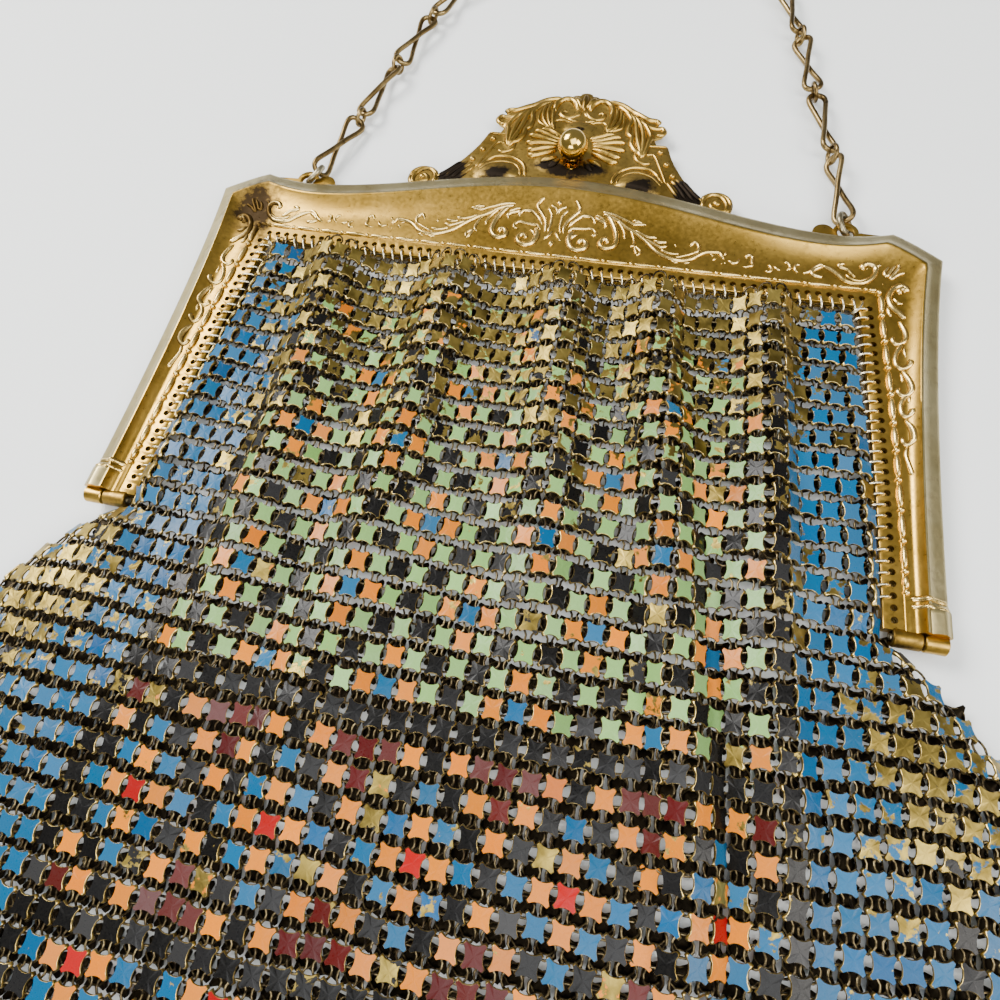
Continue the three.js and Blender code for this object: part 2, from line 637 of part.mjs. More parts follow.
function lug(side) {
  const r = LUG_HOLE_RADIUS + LUG_WALL;
  const root = 2.2;
  const edge = (x) => topEdgeY(x) - root;
  const lobe = plate(circle(side * LUG_HALF, LUG_Y, r, 12), LUG_Z0, CREST_Z1);
  const inner = plate(circle(side * (LUG_HALF - 1.7 * r), LUG_Y - 0.5, 0.85 * r, 10), LUG_Z0, CREST_Z1);
  const xs = [LUG_HALF - 2.4 * r, LUG_HALF, LUG_HALF + LUG_SHELF];
  const shelf = [
    [xs[0], edge(xs[0])], [xs[1], edge(xs[1])], [xs[2] - 1.5, edge(xs[2] - 1.5)],
    [xs[2], topEdgeY(xs[2]) + 0.2], [LUG_HALF + 0.8 * r, LUG_Y + 0.2], [xs[1], LUG_Y],
    [xs[0] + 0.4 * r, LUG_Y - 0.6],
  ].map((p) => [side * p[0], p[1]]);
  if (side < 0) shelf.reverse();
  return join([lobe, inner, plate(shelf, LUG_Z0, CREST_Z1)]);
}

function lugHole(side) {
  return plate(circle(side * LUG_HALF, LUG_Y, LUG_HOLE_RADIUS, 10), LUG_Z0 - 1, CREST_Z1 + 1);
}

// Direction in which a jump ring leads off its lug.
function ringLead(side) {
  const lean = rad(side < 0 ? RING_LEAN_LEFT : RING_LEAN_RIGHT);
  return v3(Math.sin(lean), Math.cos(lean), 0);
}

function ringPath(centre, lead, tilt, radius, steps) {
  const across = v3(lead.y, -lead.x, 0);
  const lift = across.multiplyScalar(Math.sin(rad(tilt))).add(v3(0, 0, Math.cos(rad(tilt))));
  return Array.from({ length: steps }, (_, i) => {
    const a = 2 * Math.PI * i / steps;
    return centre.clone().addScaledVector(lead, radius * Math.cos(a)).addScaledVector(lift, radius * Math.sin(a));
  });
}

function jumpRing(side) {
  const lead = ringLead(side);
  const centre = v3(side * LUG_HALF, LUG_Y, LUG_MID_Z).addScaledVector(lead, RING_RADIUS);
  return wire(ringPath(centre, lead, side * -RING_TILT, RING_RADIUS, 14), RING_WIRE / 2, 6, true);
}

// Where the chain's end wire lies in a jump ring.
function chainEye(side) {
  const reach = 2 * RING_RADIUS - RING_WIRE / 2 - LINK_WIRE / 2 - 0.5 * GAP;
  return v3(side * LUG_HALF, LUG_Y, LUG_MID_Z).addScaledVector(ringLead(side), reach);
}

function chain() {
  const points = CHAIN_ROUTE.map((r) => v3(r.x, LUG_Y + r.up, LUG_MID_Z));
  const route = new THREE.CatmullRomCurve3([chainEye(-1), ...points, chainEye(1)], false, 'centripetal');
  route.arcLengthDivisions = 600;
  const joints = route.getSpacedPoints(LINK_COUNT);
  const hold = LOOP_RADIUS - LOOP_WIRE / 2 - LINK_WIRE / 2 + LINK_BITE;
  const parts = [];
  for (let k = 0; k < LINK_COUNT; k += 1) {
    const lead = joints[k + 1].clone().sub(joints[k]).normalize();
    const a = joints[k].clone().addScaledVector(lead, k === 0 ? 0 : hold);
    const b = joints[k + 1].clone().addScaledVector(lead, k === LINK_COUNT - 1 ? 0 : -hold);
    const middle = a.clone().add(b).multiplyScalar(0.5);
    const half = a.distanceTo(b) / 2 / Math.cos(Math.PI / LINK_STEPS);
    const end = k === 0 || k === LINK_COUNT - 1;
    const roll = rad(end ? LINK_END_ROLL : LINK_ROLL * (k % 2 ? -1 : 1));
    const flat = v3(-lead.y, lead.x, 0);
    const across = flat.clone().multiplyScalar(Math.cos(roll)).add(v3(0, 0, Math.sin(roll)));
    const up = lead.clone().cross(across).negate();
    const path = Array.from({ length: LINK_STEPS }, (_, i) => {
      const t = 2 * Math.PI * (i + 0.5) / LINK_STEPS;
      const wide = 0.5 * LINK_WIDTH * (Math.sin(2 * t) + LINK_FULLNESS * Math.sin(4 * t));
      return middle.clone().addScaledVector(lead, half * Math.cos(t)).addScaledVector(across, wide)
        .addScaledVector(up, LINK_TWIST * Math.sin(t));
    });
    parts.push(wire(path, LINK_WIRE / 2, WIRE_SIDES, true));
  }
  for (let k = 1; k < LINK_COUNT; k += 1) {
    const lead = joints[k + 1].clone().sub(joints[k - 1]).normalize();
    const path = ringPath(joints[k], lead, k % 2 ? LOOP_TILT : -LOOP_TILT, LOOP_RADIUS, LOOP_STEPS);
    parts.push(wire(path, LOOP_WIRE / 2, WIRE_SIDES, true));
  }
  return join(parts);
}

// Bag

const MOUTH_Y = INNER_TOP_Y - BAG_GAP;
const BAG_BOTTOM_Y = MOUTH_Y - BAG_LENGTH;
const SHOULDER_Y = HINGE_Y - KNUCKLE_RADIUS - GAP;

function bagHalf(y) {
  const corner = OPENING_HALF_TOP - OPENING_CORNER + (INNER_TOP_Y - y) - 1.5 * BAG_GAP;
  const start = Math.min(armInnerX(y) - BAG_GAP, corner, KNUCKLE_INNER_X - PIN_HEAD - GAP);
  const t = clamp((SHOULDER_Y - y) / BAG_SHOULDER, 0, 1);
  return lerp(start, BAG_HALF, 1 - (1 - t) ** 2.1);
}

// Height of the front of the cloth over the table.
function bagFront(u, y) {
  const s = clamp((MOUTH_Y - y) / BAG_LENGTH, 0, 1);
  let z = lerp(BAG_DEPTH_MOUTH, BAG_DEPTH_BELLY, smooth(s / 0.45));
  z = lerp(z, BAG_DEPTH_END, smooth((s - 0.5) / 0.5));
  GATHERS.forEach((g) => {
    const d = (u - g.across - g.drift * s) / g.width;
    const fade = 1 - smooth(s / g.reach);
    if (Math.abs(d) < 1) z += g.lift * fade * Math.cos(0.5 * Math.PI * d) ** 2;
  });
  return z;
}

// Rounding towards the sides: full in the middle, nothing at the edge.
const rounded = (u, power) => Math.sqrt(Math.max(0, 1 - Math.abs(u) ** power));

function bagLoop(y, inset) {
  const half = bagHalf(y) - inset;
  const loop = [];
  const front = (u) => lerp(BAG_SIDE_Z, bagFront(u, y) - inset, rounded(u, 6));
  const back = (u) => lerp(BAG_SIDE_Z, inset, rounded(u, 12));
  for (let i = 0; i < BAG_FRONT_STEPS; i += 1) {
    const u = -Math.cos(Math.PI * i / BAG_FRONT_STEPS) * 0.35 + 0.65 * (-1 + 2 * i / BAG_FRONT_STEPS);
    loop.push(v3(u * half, y, front(u)));
  }
  for (let i = 0; i < BAG_BACK_STEPS; i += 1) {
    const u = Math.cos(Math.PI * i / BAG_BACK_STEPS) * 0.6 + 0.4 * (1 - 2 * i / BAG_BACK_STEPS);
    loop.push(v3(u * half, y, back(u)));
  }
  return loop;
}

function bag() {
  const run = (from, to, count) => Array.from({ length: count }, (_, i) => lerp(from, to, i / count));
  const ys = run(MOUTH_Y, SHOULDER_Y, BAG_TOP_ROWS)
    .concat(run(SHOULDER_Y, SHOULDER_Y - BAG_SHOULDER, BAG_SHOULDER_ROWS),
      run(SHOULDER_Y - BAG_SHOULDER, BAG_BOTTOM_Y, BAG_LOW_ROWS), [BAG_BOTTOM_Y]);
  const outer = skin(ys.map((y) => bagLoop(y, 0)), false, ['x', 'z']);
  const inside = ys.slice(0, -1).concat([BAG_BOTTOM_Y + BAG_WALL]).map((y) => bagLoop(y, BAG_WALL));
  const open = inside[0].map((p) => v3(p.x, p.y + 1, p.z));
  return outer.subtract(skin([open, ...inside], false, ['x', 'z']));
}

// Pieces

function frontFrame() {
  let body = moulding(1);
  body = join([body, relief(), strapLine(1), strapLine(-1)]);
  body = withKnuckles(body, FRONT_KNUCKLE, BACK_KNUCKLE);
  const pins = holeCentres().map(([x, y]) => plate(circle(x, y, HOLE_RADIUS, HOLE_SIDES, 0.3),
    HALF_DEPTH - 1, HALF_DEPTH + FLANGE_TOP + 1));
  return body.subtract(join(pins));
}

function backFrame() {
  let body = moulding(-1);
  const room = CREST_HALF + CREST_SCROLL_RADIUS + GAP;
  body = body.subtract(aboveEdge(room, CREST_TONGUE + GAP, CREST_Z0 - GAP, HALF_DEPTH + 1));
  body = join([body, lug(1), lug(-1)]);
  body = body.subtract(join([lugHole(1), lugHole(-1)]));
  return withKnuckles(body, BACK_KNUCKLE, FRONT_KNUCKLE);
}

const COLOURS = {
  brass: [0xb8994e, 0.32], crest: [0xac8c45, 0.36], ball: [0xc7a758, 0.18], grey: [0x8d8569, 0.35],
  bronze: [0x7d6a44, 0.4], mesh: [0x8f8a63, 0.5],
};

function material(name) {
  const [color, roughness] = COLOURS[name];
  return new THREE.MeshStandardMaterial({ color, roughness, metalness: name === 'mesh' ? 0.4 : 1 });
}

function geometryOf(solid) {
  const mesh = solid.getMesh();
  const geometry = new THREE.BufferGeometry();
  const position = new Float32Array(mesh.numVert * 3);
  for (let i = 0; i < mesh.numVert; i += 1) {
    for (let c = 0; c < 3; c += 1) position[3 * i + c] = mesh.vertProperties[i * mesh.numProp + c];
  }
  geometry.setAttribute('position', new THREE.BufferAttribute(position, 3));
  geometry.setIndex(Array.from(mesh.triVerts));
  return geometry;
}

const pieces = [
  ['front_frame', frontFrame(), 'brass'],
  ['back_frame', backFrame(), 'brass'],
  ['crest_plate', crest(), 'crest'],
  ['clasp_knob', knob(), 'ball'],
  ['hinge_pin_left', hingePin(-1), 'grey'],
  ['hinge_pin_right', hingePin(1), 'grey'],
  ['jump_ring_left', jumpRing(-1), 'grey'],
  ['jump_ring_right', jumpRing(1), 'grey'],
  ['chain', chain(), 'bronze'],
  ['mesh_bag', bag(), 'mesh'],
];

const group = new THREE.Group();
group.name = 'metal_mesh_purse';
const box = new THREE.Box3();
const made = pieces.map(([name, solid, look]) => {
  const geometry = geometryOf(solid);
  geometry.computeBoundingBox();
  box.union(geometry.boundingBox);
  return [name, geometry, look];
});
const middle = box.getCenter(new THREE.Vector3());
made.forEach(([name, geometry, look]) => {
  geometry.translate(-middle.x, -middle.y, -box.min.z);
  geometry.computeVertexNormals();
  const mesh = new THREE.Mesh(geometry, material(look));
  mesh.name = name;
  group.add(mesh);
});

export default group;
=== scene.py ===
import math

import bpy
import numpy as np
from mathutils import Matrix, Vector
from mathutils.bvhtree import BVHTree
from mathutils.geometry import delaunay_2d_cdt


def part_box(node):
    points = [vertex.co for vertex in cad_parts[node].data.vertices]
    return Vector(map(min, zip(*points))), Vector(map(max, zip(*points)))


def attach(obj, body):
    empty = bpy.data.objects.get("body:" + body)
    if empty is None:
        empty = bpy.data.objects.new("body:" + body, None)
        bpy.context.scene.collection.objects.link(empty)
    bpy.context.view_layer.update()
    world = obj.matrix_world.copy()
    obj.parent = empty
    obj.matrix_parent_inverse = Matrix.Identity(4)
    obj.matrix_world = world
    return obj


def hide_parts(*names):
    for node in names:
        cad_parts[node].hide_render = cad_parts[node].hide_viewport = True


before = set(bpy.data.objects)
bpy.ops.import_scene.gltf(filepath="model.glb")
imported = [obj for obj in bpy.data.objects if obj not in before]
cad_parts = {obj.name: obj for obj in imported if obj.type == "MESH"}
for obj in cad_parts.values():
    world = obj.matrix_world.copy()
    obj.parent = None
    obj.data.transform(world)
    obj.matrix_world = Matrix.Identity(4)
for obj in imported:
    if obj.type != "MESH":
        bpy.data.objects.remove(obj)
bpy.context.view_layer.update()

# Sizes in millimetres, x across, y up from the top row of holes, z up from the floor.
PITCH = 1.93
INNER_TOP_Y = -1.7
BORDER_Y = 1.95
BORDER_GAP = 3.65     # from the opening to the beaded border, on the arms
OPEN_TOP, OPEN_FOOT, OPEN_BOW, OPEN_CORNER = 58.5, 63.4, 0.5, 1.3
CORNER_HALF, CORNER_Y = 73.1, 10.8
WAIST_HALF, FOOT_HALF, FOOT_Y = 71.8, 73.1, -61.6
APEX_HALF, APEX_LIFT, DIP_Y, RISE, DIP_SHARE = 64.3, 1.5, 14.6, 7.9, 0.84
BEVEL_TOP, BEVEL_SIDE = 4.7, 3.7
STRAP_Y = -56.4
SEAM_Z = 2.8
FLANGE_Z = 0.95
HOLE_R, COIL_R = 0.56, 0.23
MOUTH_Y = INNER_TOP_Y - 0.35
COL, ROW = 3.6, 4.44
ROWS = 36
ROW0_Y = -5.5
MID_X = 1.5
SHOULDER_Y = -62     # above it the cloth is as wide as the frame
CREST_HALF, CREST_FOOT_Y, CREST_TONGUE, DISC_R = 30.9, 20.3, 1.4, 3.3
CREST_Z0, CREST_Z1 = 1.75, 2.65
CREST_PEAK_Y = 49.45
KNOB_Y, KNOB_R, KNOB_TRAVEL = 29.9, 3.15, 2.0
STEM_R, COLLAR_R = 1.1, 2.2
HINGE_Y, KNUCKLE_R, PIN_R = -62.5, 1.5, 0.6
LUG_HALF, LUG_LIFT, LUG_HOLE, LUG_WALL = 55.9, 1.7, 1.6, 0.85
LUG_Z0, LUG_Z1 = 1.85, 2.65
RING_R, RING_WIRE, RING_TILT, RING_LEANS = 2.2, 1.2, 43, (22, -3)
LINKS, LINK_WIRE, LINK_WIDE, LINK_TWIST = 13, 1.1, 3.2, 0.62
LINK_ROLL, LINK_END_ROLL = 14, 42
LOOP_R, LOOP_WIRE, LOOP_TILT = 1.75, 0.9, 12
ROUTE = [  # the chain's middle, x and height over the lugs' holes
    (-51.3, 12.0), (-49.4, 23.0), (-45.2, 41.2), (-40.4, 60.2), (-31.0, 77.5), (-18.0, 90.5), (-6.0, 96.0),
    (8.0, 96.5), (21.5, 92.0), (36.0, 80.5), (44.4, 57.0), (49.2, 35.0), (53.5, 18.0), (55.9, 10.0)]
SHIFT_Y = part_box("mesh_bag")[1].y * 1000 - MOUTH_Y
rng = np.random.default_rng(7)


def lerp(a, b, t):
    return a + (b - a) * t


def smooth(t):
    t = np.clip(t, 0, 1)
    return t * t * (3 - 2 * t)


def metres(v):
    v = np.asarray(v, float).copy()
    v[:, 1] += SHIFT_Y
    return v * 0.001


def srgb(r, g, b):
    c = np.array([r, g, b], float) / 255
    return np.where(c <= 0.04045, c / 12.92, ((c + 0.055) / 1.055) ** 2.4)


def rgba(*c):
    return (*srgb(*c), 1)


# Meshes

def make(name, verts, faces, mats, index=None, body="purse", replaces=(), attrs=None,
         flat_index=None):
    """One mesh piece from points in millimetres and a list or array of faces."""
    me = bpy.data.meshes.new(name)
    verts = metres(verts)
    if isinstance(faces, np.ndarray):
        n, k = faces.shape
        me.vertices.add(len(verts))
        me.vertices.foreach_set("co", verts.ravel())
        me.loops.add(n * k)
        me.loops.foreach_set("vertex_index", faces.astype(np.int32).ravel())
        me.polygons.add(n)
        me.polygons.foreach_set("loop_start", np.arange(0, n * k, k, dtype=np.int32))
        me.polygons.foreach_set("loop_total", np.full(n, k, np.int32))
    else:
        me.from_pydata(verts.tolist(), [], faces)
    for m in mats:
        me.materials.append(m)
    if index is not None:
        me.polygons.foreach_set("material_index", np.asarray(index, np.int32))
    me.polygons.foreach_set("use_smooth", np.ones(len(me.polygons), bool) if flat_index is None
                            else np.asarray(index) != flat_index)
    for key, value in (attrs or {}).items():
        value = np.asarray(value, np.float32)
        if value.ndim == 2:
            a = me.attributes.new(key, "FLOAT_COLOR", "POINT")
            a.data.foreach_set("color", value.ravel())
        else:
            a = me.attributes.new(key, "FLOAT", "POINT")
            a.data.foreach_set("value", value)
    me.update(calc_edges=True)
    me.validate()
    ob = bpy.data.objects.new(name, me)
    bpy.context.scene.collection.objects.link(ob)
    if body:
        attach(ob, body)
    if replaces:
        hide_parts(*replaces)
    return ob


class Build:
    """Collects parts of one piece."""

    def __init__(self):
        self.v, self.f, self.n = [], [], 0

    def add(self, verts, faces):
        verts = np.asarray(verts, float)
        self.v.append(verts)
        self.f += [[i + self.n for i in f] for f in faces]
        self.n += len(verts)

    def points(self):
        return np.concatenate(self.v)


def grid_faces(rows, cols, close_cols=False, close_rows=False, flip=False):
    """Quads between the points of a grid that may close on itself either way."""
    out = []
    for i in range(rows if close_rows else rows - 1):
        for j in range(cols if close_cols else cols - 1):
            a, b = i * cols + j, i * cols + (j + 1) % cols
            c, d = ((i + 1) % rows) * cols + (j + 1) % cols, ((i + 1) % rows) * cols + j
            out.append([a, d, c, b] if flip else [a, b, c, d])
    return out


def sweep(path, radii, sides=8, closed=False, up=(0, 0, 1)):
    """Round wire along a path. Its section keeps to up, or turns as little as it can if up is None."""
    path = np.asarray(path, float)
    n = len(path)
    radii = np.broadcast_to(np.asarray(radii, float), (n,))
    if closed:
        tan = np.roll(path, -1, 0) - np.roll(path, 1, 0)
    else:
        tan = np.gradient(path, axis=0)
    tan /= np.linalg.norm(tan, axis=1)[:, None] + 1e-12
    verts = []
    if up is not None and not closed:
        ref = np.asarray(up, float)
        side = np.cross(tan, ref)
        bad = np.linalg.norm(side, axis=1) < 1e-3
        side[bad] = np.cross(tan[bad], (1, 0, 0.1))
        side /= np.linalg.norm(side, axis=1)[:, None]
        other = np.cross(side, tan)
    else:
        side = np.zeros_like(path)
        s = np.cross(tan[0], (0.3, 0.2, 1))
        for i in range(n):
            s = s - tan[i] * (s @ tan[i])
            s /= np.linalg.norm(s)
            side[i] = s
        if closed:
            e = s - tan[0] * (s @ tan[0])
            e /= np.linalg.norm(e)
            tw = math.atan2(np.cross(e, side[0]) @ tan[0], e @ side[0])
            other = np.cross(tan, side)
            a = tw * np.arange(n) / n
            side, other = (side * np.cos(a)[:, None] + other * np.sin(a)[:, None],
                           other * np.cos(a)[:, None] - side * np.sin(a)[:, None])
        else:
            other = np.cross(tan, side)
    for k in range(sides):
        a = 2 * math.pi * k / sides
        verts.append(path + radii[:, None] * (side * math.cos(a) + other * math.sin(a)))
    verts = np.stack(verts, 1).reshape(-1, 3)
    faces = grid_faces(n, sides, close_cols=True, close_rows=closed)
    if not closed:
        faces.append(list(range(sides))[::-1])
        faces.append([(n - 1) * sides + k for k in range(sides)])
    return verts, faces


def spline(points, n):
    """Smooth curve through points, as n points along it."""
    p = np.asarray(points, float)
    q = np.concatenate([[2 * p[0] - p[1]], p, [2 * p[-1] - p[-2]]])
    t = np.linspace(0, len(p) - 1, n)
    i = np.minimum(t.astype(int), len(p) - 2)
    f = (t - i)[:, None]
    a, b, c, d = q[i], q[i + 1], q[i + 2], q[i + 3]
    return 0.5 * (2 * b + (c - a) * f + (2 * a - 5 * b + 4 * c - d) * f ** 2
                  + (3 * b - a - 3 * c + d) * f ** 3)


def ball(centre, radius, rings=8, segs=12, scale=(1, 1, 1)):
    v = [[0, 0, 1]]
    for i in range(1, rings):
        a = math.pi * i / rings
        for j in range(segs):
            b = 2 * math.pi * j / segs
            v.append([math.sin(a) * math.cos(b), math.sin(a) * math.sin(b), math.cos(a)])
    v.append([0, 0, -1])
    f = [[0, 1 + j, 1 + (j + 1) % segs] for j in range(segs)]
    for i in range(rings - 2):
        for j in range(segs):
            a, b = 1 + i * segs + j, 1 + i * segs + (j + 1) % segs
            f.append([a, a + segs, b + segs, b])
    last = len(v) - 1
    f += [[last, last - segs + (j + 1) % segs, last - segs + j] for j in range(segs)]
    return np.array(v) * np.asarray(scale) * radius + np.asarray(centre), f


# Materials

def material(name):
    m = bpy.data.materials.new(name)
    m.use_nodes = True
    nt = m.node_tree
    for n in list(nt.nodes):
        nt.nodes.remove(n)
    out = nt.nodes.new("ShaderNodeOutputMaterial")
    b = nt.nodes.new("ShaderNodeBsdfPrincipled")
    nt.links.new(b.outputs[0], out.inputs[0])
    return m, nt, b


def node(nt, kind, **inputs):
    n = nt.nodes.new(kind)
    for k, v in inputs.items():
        if k.startswith("p_"):
            setattr(n, k[2:], v)
            continue
        s = n.inputs[int(k[1:])] if k[0] == "i" and k[1:].isdigit() else n.inputs[k]
        if isinstance(v, bpy.types.NodeSocket):
            nt.links.new(v, s)
        else:
            s.default_value = v
    return n


def noise(nt, co, scale, detail=3.0, rough=0.55):
    return node(nt, "ShaderNodeTexNoise", Vector=co, Scale=scale, Detail=detail, Roughness=rough).outputs[0]


def ramp(nt, fac, lo, hi):
    return node(nt, "ShaderNodeMapRange", i0=fac, i1=lo, i2=hi, i3=0.0, i4=1.0, p_clamp=True).outputs[0]


def mix(nt, fac, a, b):
    n = nt.nodes.new("ShaderNodeMix")
    n.data_type = "RGBA"
    for s, v in ((n.inputs[0], fac), (n.inputs[6], a), (n.inputs[7], b)):
        if isinstance(v, bpy.types.NodeSocket):
            nt.links.new(v, s)
        else:
            s.default_value = v
    return n.outputs[2]


def calc(nt, op, a, b=0.0, c=0.0):
    n = nt.nodes.new("ShaderNodeMath")
    n.operation = op
    for s, v in zip(n.inputs, (a, b, c)):
        if isinstance(v, bpy.types.NodeSocket):
            nt.links.new(v, s)
        else:
            s.default_value = v
    return n.outputs[0]


def bump(nt, b, height, strength, distance):
    n = node(nt, "ShaderNodeBump", Height=height, Strength=strength, Distance=distance)
    nt.links.new(n.outputs[0], b.inputs["Normal"])


def metal(name, light, dark, stain, rough, scale, stain_at=(0.55, 0.72), dirt_and_shade=False, grain=0.25):
    """Brass with patches of tone, dark stains and, where the mesh says so, dirt and painted shade."""
    m, nt, b = material(name)
    co = node(nt, "ShaderNodeTexCoord").outputs["Object"]
    big = noise(nt, co, scale, 4)
    fine = noise(nt, co, scale * 14, 5, 0.6)
    tone = mix(nt, ramp(nt, big, 0.35, 0.65), rgba(*light), rgba(*dark))
    spots = noise(nt, co, scale * 5, 4, 0.62)
    k = ramp(nt, spots, *stain_at)
    if dirt_and_shade:
        # The mesh attribute holds patina and, at the foot of raised lines, painted shade.
        at = node(nt, "ShaderNodeAttribute", p_attribute_name="dirt_and_shade").outputs["Fac"]
        grime_and_shade = calc(nt, "MULTIPLY", calc(nt, "SUBTRACT", spots, 0.5), 0.9)
        grime_and_shade = calc(nt, "ADD", at, grime_and_shade)
        k = calc(nt, "MAXIMUM", calc(nt, "MULTIPLY", k, 0.35), ramp(nt, grime_and_shade, 0.35, 0.75))
    colour = mix(nt, k, tone, rgba(*stain))
    nt.links.new(colour, b.inputs["Base Color"])
    b.inputs["Metallic"].default_value = 1.0
    r = node(nt, "ShaderNodeMapRange", i0=fine, i1=0.3, i2=0.7, i3=rough[0], i4=rough[1]).outputs[0]
    r = calc(nt, "ADD", r, calc(nt, "MULTIPLY", k, 0.25))
    nt.links.new(r, b.inputs["Roughness"])
    bump(nt, b, fine, grain, 0.00004)
    return m


def enamel(name):
    """Enamel in each plate's own colour, chipped down to brass where the mesh says it is worn."""
    m, nt, b = material(name)
    co = node(nt, "ShaderNodeTexCoord").outputs["Object"]
    colour = node(nt, "ShaderNodeAttribute", p_attribute_name="tint").outputs["Color"]
    wear = node(nt, "ShaderNodeAttribute", p_attribute_name="wear").outputs["Fac"]
    chips = noise(nt, co, 520, 2, 0.5)
    grit = noise(nt, co, 3200, 3, 0.6)
    grain = calc(nt, "MULTIPLY", calc(nt, "SUBTRACT", grit, 0.5), 0.25)
    field = calc(nt, "ADD", chips, grain)
    bare = ramp(nt, calc(nt, "SUBTRACT", field, wear), 0.02, -0.02)
    tarnish = noise(nt, co, 240, 3)
    brass = mix(nt, ramp(nt, tarnish, 0.35, 0.65), rgba(170, 148, 76), rgba(104, 88, 40))
    shade = mix(nt, ramp(nt, grit, 0.3, 0.8), colour, rgba(40, 34, 26))
    enam = mix(nt, 0.16, colour, shade)
    nt.links.new(mix(nt, bare, enam, brass), b.inputs["Base Color"])
    nt.links.new(bare, b.inputs["Metallic"])
    b.inputs["Specular IOR Level"].default_value = 0.2
    r = node(nt, "ShaderNodeMapRange", i0=bare, i1=0.0, i2=1.0, i3=0.30, i4=0.42).outputs[0]
    r = calc(nt, "ADD", r, grain)
    nt.links.new(r, b.inputs["Roughness"])
    h = calc(nt, "ADD", calc(nt, "MULTIPLY", bare, -1.0), calc(nt, "MULTIPLY", grit, 0.25))
    bump(nt, b, h, 0.35, 0.00005)
    return m


M_FRAME = metal("frame_brass", (192, 154, 70), (160, 126, 50), (52, 40, 24), (0.26, 0.38), 90, dirt_and_shade=True)
M_RIM = metal("rim_brass", (186, 172, 128), (160, 144, 96), (66, 54, 34), (0.34, 0.46), 90, dirt_and_shade=True)
# Painted highlight: the frame's raised lines get a lighter brass than the field they rise from, though they
# are the same metal.
M_RELIEF_PAINTED_HIGHLIGHT = metal("relief_brass_painted_highlight", (236, 206, 132), (206, 174, 98), (84, 64, 30), (0.22, 0.32), 110,
                 dirt_and_shade=True)
M_CREST = metal("crest_brass", (196, 162, 84), (160, 128, 58), (36, 30, 24), (0.25, 0.4), 110, dirt_and_shade=True)
M_BALL = metal("ball_brass", (226, 190, 100), (196, 158, 70), (120, 96, 50), (0.1, 0.18), 100, (0.66, 0.8),
               grain=0.08)
M_GREY = metal("grey_metal", (176, 166, 138), (128, 116, 88), (60, 52, 38), (0.28, 0.45), 300)
M_COIL = metal("coil_wire", (232, 224, 198), (196, 184, 148), (90, 78, 56), (0.2, 0.32), 200)
M_CHAIN = metal("chain_bronze", (150, 128, 84), (104, 84, 50), (44, 34, 22), (0.25, 0.42), 160)
M_RING = metal("mesh_rings", (128, 114, 82), (58, 48, 34), (22, 18, 14), (0.26, 0.42), 170, (0.46, 0.62))
M_PLATE = metal("plate_brass", (214, 190, 120), (140, 118, 64), (60, 48, 30), (0.24, 0.4), 200, (0.6, 0.75))
# Painted shade: the back layer's plate metal is near black, so the gaps between the front plates read dark.
M_BACK_PAINTED_SHADE = metal("back_plate_painted_shade", (40, 34, 24), (24, 20, 15), (14, 11, 9), (0.4, 0.55), 200)
M_ENAMEL = enamel("plate_enamel")


# Plan of the frame

def top_edge_y(x):
    s = np.abs(x) / APEX_HALF
    arch = (1 + np.cos(np.pi * np.minimum(1, s / DIP_SHARE))) / 2
    lift = np.maximum(0, s - DIP_SHARE) / (1 - DIP_SHARE)
    return DIP_Y + RISE * arch ** 0.85 + APEX_LIFT * np.minimum(lift, 1.6) ** 2


def arm_inner_x(y):
    t = np.clip((INNER_TOP_Y - y) / (INNER_TOP_Y - FOOT_Y), 0, 1)
    return lerp(OPEN_TOP, OPEN_FOOT, t) + OPEN_BOW * np.sin(np.pi * t)


def arm_outer_x(y):
    t = np.clip((CORNER_Y - y) / (CORNER_Y - FOOT_Y), 0, 1)
    return WAIST_HALF + (CORNER_HALF - WAIST_HALF) * (1 - t) ** 5 + (FOOT_HALF - WAIST_HALF) * t ** 3


